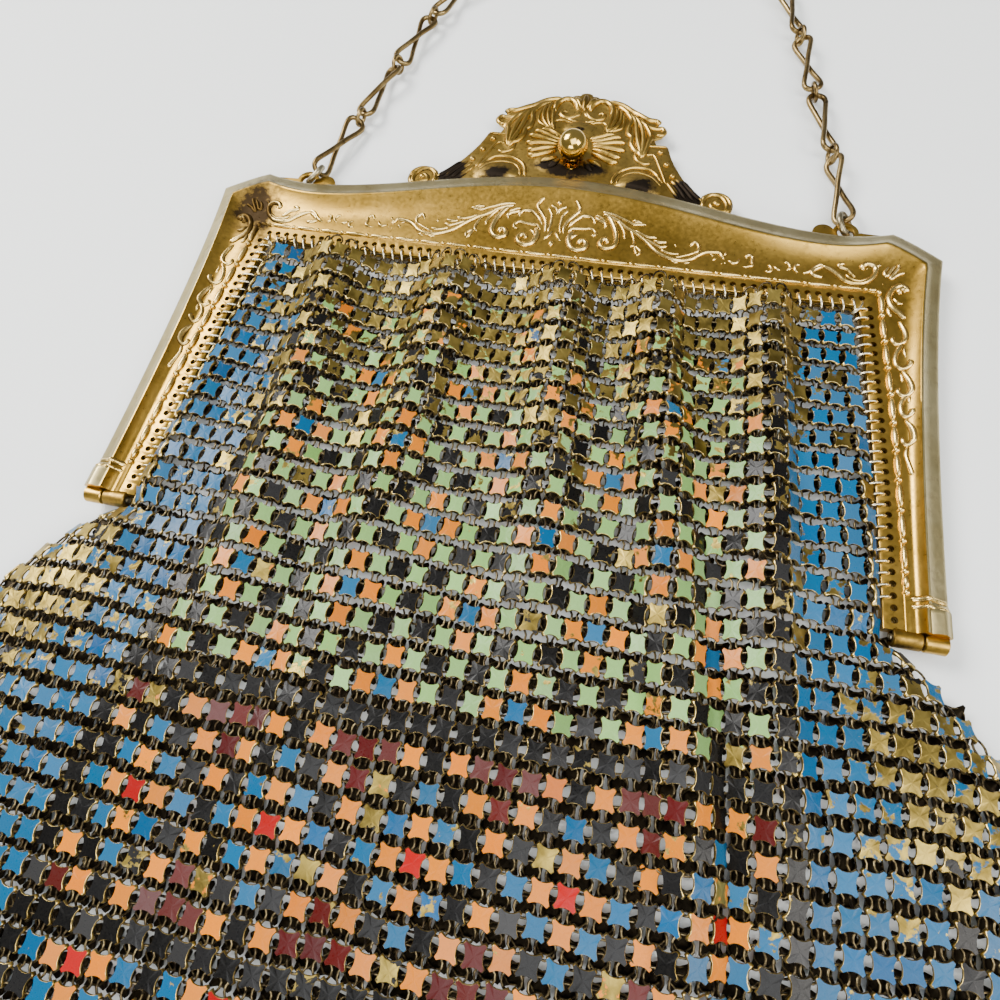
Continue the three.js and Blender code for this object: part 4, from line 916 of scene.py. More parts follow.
RELIEF = [  # raised lines on the frame's right half: half width, then x and y of each point
    (0.3, 3, 15.3, 3.5, 15.2, 4, 14.4, 4.3, 13.8, 4.2, 13.1, 3.6, 12.4, 3, 11.6, 2.4, 10.8, 2, 9.8, 1.8,
     8.8, 1.9, 7.5),
    (0.22, 2.2, 13.4, 1.5, 12.5, 1.1, 11.7, 1, 10.4, 1, 9.1, 1.3, 7.5),
    (0.26, 0.2, 12.1, 0.2, 12.9, 0.6, 13.4, 1.2, 13.7, 1.7, 14.1),
    (0.26, 0.3, 8, 0.6, 7.2, 1.1, 6.4, 1.7, 5.6),
    (0.3, 2.7, 9.3, 3.2, 10.2, 3.7, 10.9, 4.4, 11.6, 5.1, 12.2, 5.9, 12.3, 6.8, 12.2, 7.4, 11.7, 7.7, 11.1,
     7.5, 10.6),
    (0.34, 7.5, 12.4, 8.3, 11.7, 9.2, 11.4, 9.8, 11, 10, 10.5, 9.7, 9.9),
    (0.26, 7.5, 12.6, 8.5, 12.4, 9.4, 11.8, 9.8, 11.2),
    (0.28, 2.8, 7.9, 3.4, 8.9, 4.1, 9.1, 5.2, 9.2, 6.2, 9.3, 7.2, 9.5, 8, 9, 8.3, 8.4, 8, 7.8, 7.4, 7.9),
    (0.48, 4, 8.5, 3.4, 7.6, 3.2, 6.4, 3.5, 5.2, 4.1, 4.2, 4.9, 3.8, 5.9, 3.9, 6.7, 4.5, 6.9, 5.4, 6.5, 6.1,
     5.9, 6.3, 5.4, 5.8, 5.5, 5.2),
    (0.32, 3.8, 6.2, 4, 7, 4.4, 7.4, 5, 7.6),
    (0.26, 8.8, 13.5, 10, 13.4, 11.5, 13.1, 12.9, 12.5, 14.2, 12, 15.2, 11.5, 15.9, 11.4, 16.9, 11.5, 18,
     11.5),
    (0.3, 15, 12.2, 15.6, 12.1, 16.4, 12, 17.3, 11.6),
    (0.36, 9, 13.1, 10.3, 12.7, 11.7, 12.2, 12.6, 11.7, 13.6, 10.9, 14.7, 10.2, 16.1, 9.5, 17, 8.8, 17.8,
     8.2, 18.7, 7.4, 19.6, 6.5, 20.4, 5.7, 21.3, 5.1, 22.1, 4.7, 23.1, 4.3, 24.1, 4, 25, 4, 26, 4, 27, 4.4,
     27.6, 4.7, 28.2, 5.3, 29.1, 6.1, 29.9, 6.5, 30.8, 6.7, 31.8, 6.8, 32.6, 6.8, 33.1, 6, 33.5, 5.3),
    (0.46, 9.9, 12.8, 10.7, 12.1, 11.4, 11, 12, 9.8, 12.4, 8.6, 12.6, 7.4, 12.5, 6.3, 11.9, 5.4, 11.1, 5,
     10.2, 5.1, 9.6, 5.7, 9.6, 6.5, 10, 7.1, 10.7, 7.2, 10.9, 6.6, 10.7, 6.1),
    (0.26, 11.8, 12.2, 12.8, 11.1, 13.6, 9.9, 14, 8.8, 14.1, 7.7),
    (0.24, 14.7, 10.1, 15.3, 9.6, 15.7, 8.6, 16, 7.7, 16.1, 6.7, 15.8, 6.2, 15.4, 5.9),
    (0.26, 16.1, 6.9, 16.4, 5.9, 16.7, 4.9, 17.1, 3.9),
    (0.24, 16.2, 6.5, 17, 5.8, 17.6, 5, 17.1, 3.9),
    (0.26, 15.6, 10.2, 16.8, 9.6, 17.9, 9.1, 19, 8.8, 19.8, 8.9, 20.3, 8.6),
    (0.26, 17.7, 8.4, 19.1, 7.8, 20.2, 7.2, 21.5, 6.7, 22.7, 7.3),
    (0.3, 19.7, 8.2, 20.7, 7.9, 21.7, 7.9, 22.5, 8.1),
    (0.22, 21.4, 6.2, 22, 5.8, 23, 5.5, 24.3, 5.4, 25.1, 5.6),
    (0.22, 24.5, 4.5, 25.7, 5.1, 26.8, 5.6, 28.1, 6.4),
    (0.24, 23.6, 3.7, 24.4, 3.4, 25.2, 3.3),
    (0.24, 26.1, 3.3, 27.4, 3.8),
    (0.22, 23.9, 7.9, 24.2, 7.2),
    (0.28, 26.9, 7.5, 27.2, 8.2, 27.6, 8.7, 28.2, 8.3, 28.6, 7.4, 28.3, 6.5, 27.5, 6),
    (0.24, 30.8, 6.4, 31.5, 5.8),
    (0.26, 31.4, 4.7, 32.1, 5.6),
    (0.24, 33.4, 6.2, 33.7, 6.7, 33.7, 7.3),
    (0.3, 33, 4.3, 33.3, 4.3),
    (0.3, 33.6, 4.4, 33.9, 4.6),
    (0.26, 34.2, 5.3, 34.9, 4.8, 35.6, 4.7, 36.2, 5.3, 36.3, 6),
    (0.26, 37.6, 6, 37.6, 6.6, 38, 7, 38.6, 6.7, 38.8, 6.2, 38.7, 5.4, 38.9, 4.7, 38.3, 4.3, 37.1, 4),
    (0.26, 41.2, 3.7, 41.9, 3.5, 42.4, 4, 42.2, 4.8, 41.6, 5.2),
    (0.24, 42.7, 5.1, 43.4, 4.4, 44.1, 4.1),
    (0.24, 44.6, 5.9, 45.1, 6.2, 45.6, 5.6, 45.8, 4.9, 45.1, 4.3),
    (0.26, 47.6, 5.7, 46.9, 5.9, 46.6, 5.2, 46.8, 4.4, 47.3, 4.1),
    (0.26, 48.1, 4, 48.9, 4.4, 49.6, 5, 50.2, 5.8, 51.1, 6.4, 51.8, 6.2),
    (0.32, 51.8, 6, 51, 5.8, 50.2, 5.2, 49.7, 4.6, 49.9, 4, 50.6, 3.8, 51.4, 3.6, 51.6, 4.1),
    (0.4, 51.4, 6.3, 52.9, 5.7, 53.9, 5, 54.7, 4.3, 55.5, 3.5, 56.5, 3.1, 57.6, 3, 58.9, 3.3, 60, 4.2, 60.7,
     5.1, 61.1, 6.4, 60.8, 7.3, 59.9, 7.6, 59, 7.4, 58.6, 6.8, 59, 6.2),
    (0.24, 55.7, 5, 56.3, 4.3, 57.1, 3.8, 58.4, 3.7, 59.5, 4.3, 60.2, 5),
    (0.32, 55.7, 7.1, 55, 7, 54.4, 6.7, 54.7, 6.4, 55.3, 6.2, 56, 6, 56.5, 5.5, 57, 4.8, 57.6, 4.3),
    (0.45, 59.4, 6.6, 59.6, 6.6),
    (0.26, 61.4, 6.8, 61.4, 7.4, 61.7, 7.7, 62, 7.5),
    (0.26, 63.4, 7.7, 62.9, 6.9, 62.6, 6.2, 62.8, 5.5, 63.2, 5.7, 63.9, 7.1, 64.5, 7.9),
    (0.26, 64.6, 7.9, 65, 7.5, 64.3, 6.2, 63.7, 5.2, 63.9, 4.9, 64.6, 5.7, 65.7, 6.2, 66, 6),
    (0.42, 62.3, 3.5, 62.4, 3.5),
    (0.46, 65.7, 2, 65.3, 1.9, 65.2, 2.4, 65.7, 2.8, 66.2, 2.4, 66.3, 2.8, 65.6, 3.5, 64.7, 3.2, 64, 2.4,
     63.5, 1.2, 63.4, 0.1, 63.8, -1.2, 64.5, -2.1, 65.2, -2.7, 65.9, -3.6, 66.4, -3.6),
    (0.28, 63.2, -1.1, 63.3, -2.2, 63.6, -3.2, 63.9, -3.7),
    (0.3, 64.1, 0.8, 64.6, 0, 65.2, -0.6, 66, -0.4),
    (0.34, 65.1, -4.3, 65.6, -5.3, 66.1, -6.6, 66.3, -7.8, 66.1, -8.7, 65.5, -9.3, 64.7, -9.5, 64.2, -9,
     64.1, -8.4, 64.4, -8),
    (0.36, 66, -8.9, 65.4, -10.1, 64.8, -11.6, 64.6, -13, 64.9, -14.1, 65.6, -14.6, 66.3, -14.4, 66.9,
     -13.7, 66.9, -13.1, 66.5, -12.8),
    (0.2, 66.1, -9.9, 66.1, -11, 66.3, -12.2),
    (0.36, 65.7, -14.8, 66.3, -15.9, 66.8, -17.1, 67.1, -18.5, 67, -19.3, 66.5, -19.9, 65.9, -20.1, 65.3,
     -19.7, 65.1, -19.1, 65.6, -18.6),
    (0.2, 65.4, -15.4, 65.8, -16.6, 65.7, -17.4),
    (0.34, 67, -19.6, 66.3, -20.3, 65.7, -21.5, 65.6, -22.8, 65.9, -23.8, 66.5, -24.2, 67.1, -23.6, 67.2,
     -23, 66.9, -22.7),
    (0.2, 67, -20, 66.8, -20.8, 66.9, -21.7),
    (0.34, 66.2, -24.7, 66.9, -25.8, 67.3, -27.1, 67.4, -28.4, 67.2, -29.1, 66.6, -29.6, 66.1, -29.3, 65.9,
     -28.6, 66.2, -28.4),
    (0.26, 66.8, -29.8, 66.5, -30.8, 66.5, -31.8, 66.9, -33.3, 67.2, -34.7, 67.3, -35.3),
]
CREST_RELIEF = [  # the same on the crest's right half
    (0.42, 0.6, 43.7, 1.4, 42.4, 2.4, 41.6, 3.6, 41.5, 4.5, 42.1, 4.7, 42.9, 4.2, 43.5, 3.4, 43.1),
    (0.55, 1.5, 43.8, 1.6, 45.1, 2.2, 46.2, 3.3, 47, 4.6, 46.9, 5.8, 45.9, 6.3, 44.3, 6, 42.8),
    (0.34, 0.9, 40.3, 2.1, 40.6, 3.5, 41.4),
    (0.26, 0.5, 43.7, 0.7, 42.5, 1.8, 41.6),
    (0.34, 6, 45.5, 6.4, 42.8, 6.2, 40.3, 5.8, 37.8),
    (0.34, 7.1, 45.5, 7.6, 42.6, 7, 39.8, 6, 37.8),
    (0.36, 8.2, 45, 8.6, 42.1, 8.1, 39.8, 6.8, 38.1, 5.9, 37.7),
    (0.3, 8.9, 43.7, 9.3, 41.6, 9.2, 39.5, 8.1, 38.5, 6.8, 37.9),
    (0.5, 4.8, 46.9, 6.6, 46.8, 8.7, 46, 10.9, 44.5, 12.8, 43.2, 14.6, 42.2, 16.1, 42.2, 16.6, 41.8, 16.5,
     41.2),
    (0.42, 7.2, 46, 9.1, 44.6, 11.1, 42.7, 13.3, 41.1, 14.9, 40.1, 16.6, 39.9, 17.6, 40.2, 18.2, 39.1, 17.7,
     38.2, 16.6, 38),
    (0.46, 8.8, 44.9, 10.9, 42.1, 10.6, 39.9, 10.7, 37.7, 11.6, 36.6, 11.7, 34.7, 12.8, 32.9, 13.7, 32.4,
     14.4, 31.1),
    (0.46, 9.5, 44.7, 11.6, 41.8, 12.3, 38.9, 12.9, 36, 13.8, 33.2, 14.4, 31.1),
    (0.46, 10.3, 44.1, 12.6, 41.3, 13.7, 38.5, 14.2, 35.6, 14.3, 33.2, 14.4, 31.1),
    (0.42, 12, 42.5, 14, 40.6, 15.6, 37.5, 15.3, 35.8, 15.1, 33.6, 14.5, 31.2),
    (0.3, 12.9, 32.5, 13.2, 30.9, 14, 30, 15.4, 29.6, 16.5, 30.1),
    (0.24, 15.3, 32.1, 16.9, 32.2, 18.5, 28.9, 20.3, 24.5),
    (0.22, 15.2, 34.6, 17.1, 34.9, 19.3, 34.9),
    (0.45, 17.9, 33.2, 18.1, 33.2),
    (0.45, 19.5, 29.8, 19.8, 29.9),
    (0.42, 21.1, 26.8, 21.4, 26.8),
    (0.34, 20.3, 25.2, 21.8, 23, 23.2, 21),
    (0.36, 21.1, 25.8, 23, 23.6, 24.7, 20.9),
    (0.38, 22.1, 26.1, 24.3, 23.5, 26.3, 20.7),
    (0.4, 23.5, 25.8, 25.6, 23.1, 27.9, 20.8),
    (0.34, 9.2, 23.2, 9.5, 25.2, 10.6, 27, 13.1, 28.3, 16, 28.3, 18.1, 26.9, 19.6, 24.5),
    (0.26, 10.2, 23.1, 10.4, 24.6, 11.6, 26.1, 13.4, 26.6, 15.5, 26.2, 17.4, 25.3, 19.3, 23.5),
    (0.55, 2.7, 35.3, 4.7, 36.3, 6.5, 37.2, 8.2, 37),
    (0.6, 3.1, 34.6, 5.9, 35.5, 8.2, 36.4, 9.5, 36.2),
    (0.6, 3.4, 33.7, 6.8, 34.4, 9.2, 34.9, 10.5, 34.8),
    (0.6, 3.5, 33, 7, 33, 9.5, 32.7, 10.8, 32.7),
    (0.6, 3.5, 32.3, 6.5, 31.5, 8.8, 30.7, 10.1, 30.6),
    (0.6, 3.6, 31.4, 6.1, 30.2, 8.4, 29.2, 9.8, 29.4),
    (0.7, 3.1, 29.3, 4.5, 28.6, 5.6, 27.9, 6.5, 27.1),
    (0.6, 2.5, 28.7, 3.7, 27.1, 4.7, 25.9),
    (0.28, 2.2, 39.9, 4, 40.5, 5.3, 40.2, 5.8, 39.1, 5.1, 36.7, 3.8, 35),
    (0.4, 28, 21, 28.4, 21.9, 29.6, 22.8, 31.2, 22.7, 32.5, 21.5, 33, 19.9, 32.6, 18.6, 31.2, 18.7, 30,
     19.5, 29.9, 20.5, 30.9, 21.1, 31.6, 20.4),
    (0.8, 0, 43.6, 0, 46, 0, 48.7), (0.7, 0.5, 44.4, 1.5, 46.4, 2.3, 47.7),
]


# Relief, beads, crest and fittings

# Section of a raised line: across, height, and painted shade, which darkens its foot where it meets the
# surface.
PROFILE = ((-1.5, -0.04, 0.6), (-0.95, 0.42, 0.3), (-0.5, 0.86, 0.06), (0, 1.0, 0.0), (0.5, 0.86, 0.06),
           (0.95, 0.42, 0.3), (1.5, -0.04, 0.6))


def outward(v, f):
    """Faces turned so that the closed body encloses a positive volume."""
    t, _ = triangles(f, [0] * len(f))
    a, b, c = v[t[:, 0]], v[t[:, 1]], v[t[:, 2]]
    if np.sum(a * np.cross(b, c)) < 0:
        return [list(q)[::-1] for q in f]
    return f


def strand(points, w, height, lift=1.0, step=0.42, blunt=False):
    """Rounded raised line on a surface: points, faces, and the painted shade of each point, darkest at its
    foot.
    """
    pts = np.asarray(points, float)
    length = float(np.sum(np.linalg.norm(np.diff(pts, axis=0), axis=1)))
    n = max(5, int(length / step) + 1)
    p = spline(pts, n)
    t = np.gradient(p, axis=0)
    t /= np.linalg.norm(t, axis=1)[:, None]
    c = np.column_stack([-t[:, 1], t[:, 0]])
    s = np.linspace(0, 1, n) * length
    end = np.minimum(s, length - s) / (w * (1.0 if blunt else 3.0))
    full = 0.12 + 0.88 * np.sqrt(np.clip(end, 0, 1))
    rows, grime_and_shade = [], []
    for u, h, d in PROFILE:
        q = p + c * (u * w * full)[:, None]
        rows.append(np.column_stack([q, height(q) + h * lift * w * full]))
        grime_and_shade.append(np.full(n, d))
    # The bottom ring is painted shade too.
    rows.append(np.column_stack([p, height(p) - 0.15]))
    grime_and_shade.append(np.full(n, 0.5))
    v = np.stack(rows, 1).reshape(-1, 3)
    k = len(rows)
    f = grid_faces(n, k, close_cols=True)
    f += [list(range(k))[::-1], [(n - 1) * k + i for i in range(k)]]
    return v, outward(v, f), np.stack(grime_and_shade, 1).ravel()


def caster(v, f):
    """Height of a surface at any x and y."""
    tree = BVHTree.FromPolygons([tuple(q) for q in v], f)

    def height(xy):
        out = []
        for x, y in xy:
            hit = tree.ray_cast(Vector((x, y, 40)), Vector((0, 0, -1)))[0]
            out.append(hit.z if hit else SEAM_Z + 1.2)
        return np.array(out)
    return height


class Raised(Build):
    """Build that also keeps the grime and painted shade of each point."""

    def __init__(self):
        super().__init__()
        self.d = []

    def put(self, v, f, d, mirror=False):
        self.add(v, f)
        self.d.append(np.broadcast_to(d, (len(v),)))
        if mirror:
            self.add(v * (-1, 1, 1), [list(q)[::-1] for q in f])
            self.d.append(np.broadcast_to(d, (len(v),)))

    def grime_and_shade(self):
        return np.concatenate(self.d)


def frame_relief():
    """Scrolls, beads and strap lines of one half, then the same on the other half."""
    skin_v, skin_f, _ = moulding(1)
    height = caster(skin_v, skin_f)
    b = Raised()
    for w, *xy in RELIEF:
        v, f, d = strand(np.reshape(xy, (-1, 2)), w, height, 1.15)
        b.put(v, f, d, mirror=True)
    for cx, cy, rx, ry in ((0.0, 14.6, 0.62, 0.62), (0.0, 4.75, 0.62, 0.85)):
        v, f = ball((cx, cy, float(height([(cx, cy)])[0])), 1, 6, 4, (rx, ry, 0.42))
        b.put(v, f, 0.1)
    arm_y = [-3.55, -9.08, -14.64, -20.03, -25.55, -30.8, -36.2, -41.6, -46.9, -52.0, -55.4]
    line = [(5.4 * k, BORDER_Y) for k in range(0, 12)] + [(61.75, 1.55)]
    line += [(float(arm_inner_x(y)) + BORDER_GAP, y) for y in arm_y]
    for k, (x, y) in enumerate(line):
        r = 0.42 if k < 12 else 0.56
        v, f = ball((x, y, SEAM_Z + 1.16), r, 6, 10, (1, 1, 0.9))
        b.put(v, f, 0.12, mirror=x > 0)
        if k + 1 < len(line):
            a, c = np.array([x, y]), np.array(line[k + 1])
            gap = 0.62 / np.linalg.norm(c - a)
            t = np.linspace(gap, 1 - gap, 11)
            path = np.column_stack([a + (c - a) * t[:, None], np.full(11, SEAM_Z + 1.12)])
            if 11 <= k <= 12:
                path[:, :2] += 0.35 * np.sin(np.pi * np.linspace(0, 1, 11))[:, None] * (0.7, 0.7)
            radii = (0.16 + (0.24 if k < 12 else 0.38) * np.sin(np.pi * np.linspace(0, 1, 11)) ** 0.6)
            v, f = sweep(path, radii, 8)
            b.put(v, outward(v, f), 0.12, mirror=True)
    for y, w in ((STRAP_Y + 0.1, 0.34), (STRAP_Y - 1.15, 0.26)):
        x0, x1 = float(arm_inner_x(y)) + 4.0, float(arm_outer_x(y)) - 0.25
        v, f, d = strand([(x0, y), (lerp(x0, x1, 0.5), y + 0.05), (x1, y)], w, height, 1.1, blunt=True)
        b.put(v, f, d, mirror=True)
    v, grime_and_shade = b.points(), b.grime_and_shade()
    for name, face in (("front_relief", 1), ("back_relief", -1)):
        q = v.copy()
        f = b.f
        if face < 0:
            q[:, 2] = np.maximum(2 * SEAM_Z - q[:, 2], 0.0)
            f = [list(i)[::-1] for i in f]
        # Patina plus the painted shade at the foot of each raised line and bead.
        make(name, q, f, [M_RELIEF_PAINTED_HIGHLIGHT], attrs={"dirt_and_shade": grime_and_shade + dirt_of(q)})


def dome(x, y, cx, cy, rx, ry, h, power):
    r2 = ((np.abs(x) - cx) / rx) ** 2 + ((y - cy) / ry) ** 2
    return h * np.maximum(0, 1 - r2) ** power


def crest_top(xy):
    """Height of the stamped crest between its raised lines."""
    xy = np.asarray(xy, float)
    x, y = xy[:, 0], xy[:, 1]
    a = np.abs(x)
    h = dome(x, y, 15.0, 23.2, 5.0, 4.2, 0.95, 0.8)
    h += dome(x, y, 3.6, 43.4, 2.7, 2.9, -0.28, 0.5)
    h += dome(x, y, 0.0, 38.2, 3.4, 2.3, 0.5, 0.7)
    h += dome(x, y, 13.4, 38.0, 3.0, 8.5, 0.28, 0.7)
    fan = np.hypot(a - 2.0, y - 32.6)
    turn = np.arctan2(y - 32.6, a - 2.0) / 0.75
    h += 0.34 * (np.clip(1 - ((fan - 5.6) / 5.2) ** 2, 0, 1) * np.clip(1 - turn ** 2, 0, 1))
    h += dome(x, y, 4.6, 27.6, 3.2, 2.6, 0.4, 0.7)
    h += dome(x, y, 8.0, 42.0, 3.2, 5.0, 0.22, 0.7)
    return CREST_Z1 + h * smooth((y - top_edge_y(x) - 0.2) / 0.8)


def inside(pts, loop):
    """Whether each point lies in a closed outline."""
    x, y = pts[:, 0], pts[:, 1]
    hit = np.zeros(len(pts), bool)
    for (x0, y0), (x1, y1) in zip(loop, np.roll(loop, -1, 0)):
        if y0 != y1:
            hit ^= ((y0 > y) != (y1 > y)) & (x < (x1 - x0) * (y - y0) / (y1 - y0) + x0)
    return hit


CREST_EDGE = [  # the crest's outline on the right, from its end disc to the shell, in smooth runs
    [(28.2, 20.9), (26.0, 23.3), (23.9, 26.0), (22.5, 28.2), (20.8, 31.4), (19.5, 35.0)],
    [(19.5, 35.0), (17.1, 35.0)], [(17.1, 35.0), (16.3, 37.1)],
    [(16.3, 37.1), (16.9, 37.6), (17.9, 38.2), (18.3, 39.3), (17.7, 40.3), (16.7, 40.8)],
    [(16.7, 40.8), (16.9, 41.9), (16.2, 42.7), (14.9, 42.9)],
    [(14.9, 42.9), (12.7, 44.2), (10.5, 45.8), (8.1, 47.0), (5.4, 47.5), (3.7, 47.3)],
    [(3.7, 47.3), (3.3, 48.0), (2.2, 48.6), (1.5, 48.5)],
    [(1.5, 48.5), (1.2, 49.1), (0.6, 49.4), (0, CREST_PEAK_Y)]]


def crest():
    """The stamped plate as one sheet with the slot cut out, and its raised lines."""
    xs = np.linspace(-CREST_HALF, CREST_HALF, 91)
    low_edge = np.column_stack([xs, top_edge_y(xs) - CREST_TONGUE])
    disc = circle(CREST_HALF, CREST_FOOT_Y, DISC_R, 60)
    disc = np.concatenate([disc[47:], disc[:29]])
    edge = []
    for run in CREST_EDGE:
        length = sum(math.dist(p, q) for p, q in zip(run, run[1:]))
        edge.append(spline(run, max(3, int(length / 0.42)))[:-1])
    right = np.concatenate([disc] + edge)
    loop = np.concatenate([low_edge, right, [[0, CREST_PEAK_Y]], right[::-1] * (-1, 1)])
    slot_w = STEM_R + 0.25
    slot = np.concatenate([circle(0, KNOB_Y, slot_w, 24)[:13],
                           circle(0, KNOB_Y - KNOB_TRAVEL, slot_w, 24, math.pi)[:13]])
    grid = []
    step = 0.5
    for j, y in enumerate(np.arange(15, 50, step * 0.866)):
        for x in np.arange(-35, 35, step):
            grid.append((x + (j % 2) * step / 2, y))
    grid = np.array(grid)

    def edge_gap(pts, ring):
        best = np.full(len(pts), 9.0)
        for p, q in zip(ring, np.roll(ring, -1, 0)):
            d = q - p
            t = np.clip(((pts - p) @ d) / max(d @ d, 1e-9), 0, 1)
            best = np.minimum(best, np.linalg.norm(pts - p - t[:, None] * d, axis=1))
        return best
    grid = grid[inside(grid, loop) & ~inside(grid, slot)]
    grid = grid[(edge_gap(grid, loop) > 0.22) & (edge_gap(grid, slot) > 0.22)]
    n, m = len(loop), len(slot)
    pts = np.concatenate([loop, slot, grid])
    edges = [(i, (i + 1) % n) for i in range(n)] + [(n + i, n + (i + 1) % m) for i in range(m)]
    v2, _, f, _, _, _ = delaunay_2d_cdt([Vector(p) for p in pts], edges, [], 0, 1e-5)
    v2 = np.array([tuple(p) for p in v2])
    f = np.array([list(q) for q in f])
    mid = v2[f].mean(1)
    f = f[inside(mid, loop) & ~inside(mid, slot)]
    a, b, c = v2[f[:, 0]], v2[f[:, 1]], v2[f[:, 2]]
    flip = (b[:, 0] - a[:, 0]) * (c[:, 1] - a[:, 1]) - (b[:, 1] - a[:, 1]) * (c[:, 0] - a[:, 0]) < 0
    f[flip] = f[flip][:, ::-1]
    gap = np.minimum(edge_gap(v2, loop), edge_gap(v2, slot))
    z = crest_top(v2) - 0.22 * np.clip(1 - gap / 0.45, 0, 1) ** 2
    k = len(v2)
    verts = np.concatenate([np.column_stack([v2, z]), np.column_stack([v2, np.full(k, CREST_Z0)])])
    count = {}
    for q in f:
        for i in range(3):
            count[(q[i], q[(i + 1) % 3])] = 1
    walls = [[j, i, i + k, j + k] for i, j in count if (j, i) not in count]
    faces = [list(q) for q in f] + [[q[2] + k, q[1] + k, q[0] + k] for q in f] + walls
    used = np.unique(np.concatenate([np.array(q) for q in faces]))
    where = np.full(2 * k, -1)
    where[used] = np.arange(len(used))
    verts, faces = verts[used], [[int(where[i]) for i in q] for q in faces]
    # The crest plate's attribute holds its patina and the painted shadow under the clasp ball.
    ob = make("crest", verts, faces, [M_CREST], replaces=("crest_plate",),
              attrs={"dirt_and_shade": crest_patina_and_shadow(verts)})
    sharpen(ob, 50)
    b = Raised()
    lines = [(w, np.reshape(xy, (-1, 2))) for w, *xy in CREST_RELIEF]
    ring = circle(CREST_HALF, CREST_FOOT_Y, DISC_R - 0.55, 40)
    lines.append((0.36, ring[list(range(40)) + [0, 1]]))
    for w, line in lines:
        v, f, d = strand(line, w, crest_top, 1.0, 0.42)
        keep = smooth((v[:, 1] - top_edge_y(v[:, 0]) - 0.2) / 0.8)
        v[:, 2] = CREST_Z1 - 0.1 + (v[:, 2] - CREST_Z1 + 0.1) * keep
        near = np.hypot(v[:, 0], v[:, 1] - KNOB_Y + 1) < slot_w + 0.3
        if not near.any():
            b.put(v, f, d, mirror=True)
    for x, y in ((18.1, 33.2), (19.75, 29.85), (21.35, 26.8)):
        v, f = ball((x, y, CREST_Z1), 0.62, 7, 12, (1, 1, 0.8))
        b.put(v, f, 0.15, mirror=True)
    v, f = ball((CREST_HALF + 0.1, CREST_FOOT_Y + 0.3, CREST_Z1), 0.75, 7, 12, (1, 1, 0.6))
    b.put(v, f, 0.15, mirror=True)
    v = b.points()
    # Patina, the painted shadow under the clasp ball, and half the painted shade at the feet of the raised
    # lines.
    make("crest_relief", v, b.f, [M_CREST],
         attrs={"dirt_and_shade": crest_patina_and_shadow(v) + 0.5 * b.grime_and_shade()})


def crest_patina_and_shadow(v):
    """Black patina in the low parts of the crest, and a painted shadow just under the clasp ball."""
    x, y = v[:, 0], v[:, 1]
    a = np.abs(x)

    def spot(cx, cy, rx, ry, sx=a):
        return np.exp(-(((sx - cx) / rx) ** 2 + ((y - cy) / ry) ** 2))
    d = 0.9 * spot(15.2, 22.6, 4.6, 2.9) + 0.8 * smooth((a - 20.5) / 3) * smooth((27.5 - y) / 3)
    d = d * np.where((a > 27.5), 0.35, 1.0)
    # Painted shadow: the first term darkens the crest just under the clasp ball.
    d += 0.8 * spot(0, 25.4, 7, 2.6) + 0.5 * spot(5.5, 26.6, 4, 1.2)
    d += 0.8 * spot(0.4, 37.6, 2.0, 0.9, x) + 0.35 * spot(3.5, 43.4, 1.5, 1.8)
    d += 0.75 * spot(-13.0, 45.2, 5, 1.6, x) + 0.6 * spot(-17.5, 41.2, 1.6, 1.6, x)
    return d + 0.05


def knob():
    b = Build()
    cz = CREST_Z1 + 0.3 + math.sqrt(KNOB_R ** 2 - (STEM_R + 0.5) ** 2)
    v, f = ball((0, KNOB_Y, cz), KNOB_R, 28, 44)
    b.add(v, f)
    v, f = sweep([(0, KNOB_Y, z) for z in (1.5, 2.2, 2.9, 3.4)], STEM_R, 24, up=(0, 1, 0))
    b.add(v, outward(v, f))
    top = CREST_Z0 - 0.3
    path = [(0, KNOB_Y, top - z) for z in (0.6, 0.52, 0.08, 0.0)]
    v, f = sweep(path, (COLLAR_R - 0.1, COLLAR_R, COLLAR_R, COLLAR_R - 0.1), 32, up=(0, 1, 0))
    b.add(v, outward(v, f))
    ob = make("clasp_ball", b.points(), b.f, [M_BALL], body="knob",
              replaces=("clasp_knob",))
    sharpen(ob, 40)


def lug_y():
    return float(top_edge_y(LUG_HALF)) + LUG_LIFT


def lugs():
    r = LUG_HOLE + LUG_WALL
    y = lug_y()
    for side, name in ((-1, "lug_left"), (1, "lug_right")):
        xs = (LUG_HALF - 2.4 * r, LUG_HALF, LUG_HALF + 8.5)
        low_y = [float(top_edge_y(x)) - 2.2 for x in (xs[0], xs[1], xs[2] - 1.5)]
        shelf = np.array([(xs[0], low_y[0]), (xs[1], low_y[1]), (xs[2] - 1.5, low_y[2]),
                          (xs[2], float(top_edge_y(xs[2])) + 0.2), (LUG_HALF + 0.8 * r, y + 0.2),
                          (xs[1], y), (xs[0] + 0.4 * r, y - 0.6)]) * (side, 1)
        if side < 0:
            shelf = shelf[::-1]
        ob = cutter(name, [(circle(side * LUG_HALF, y, r, 64), LUG_Z0, LUG_Z1)])
        inner = circle(side * (LUG_HALF - 1.7 * r), y - 0.5, 0.85 * r, 48)
        cut(ob, cutter("lobe", [(inner, LUG_Z0, LUG_Z1)]), "UNION")
        cut(ob, cutter("shelf", [(shelf, LUG_Z0, LUG_Z1)]), "UNION")
        cut(ob, cutter("lug_hole", [(circle(side * LUG_HALF, y, LUG_HOLE, 48), LUG_Z0 - 1, LUG_Z1 + 1)]))
        soften(ob, 0.16)
        paint(ob, lambda co: 0.12 + 0.9 * (side < 0) * smooth((co[:, 0] + 58) / -4))
        ob.data.materials.append(M_FRAME)
        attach(ob, "purse")


def soften(ob, width):
    mod = ob.modifiers.new("round", "BEVEL")
    mod.width = width * 0.001
    mod.segments = 2
    mod.limit_method = "ANGLE"
    mod.angle_limit = math.radians(50)
    apply_modifiers(ob)
    sharpen(ob, 35)


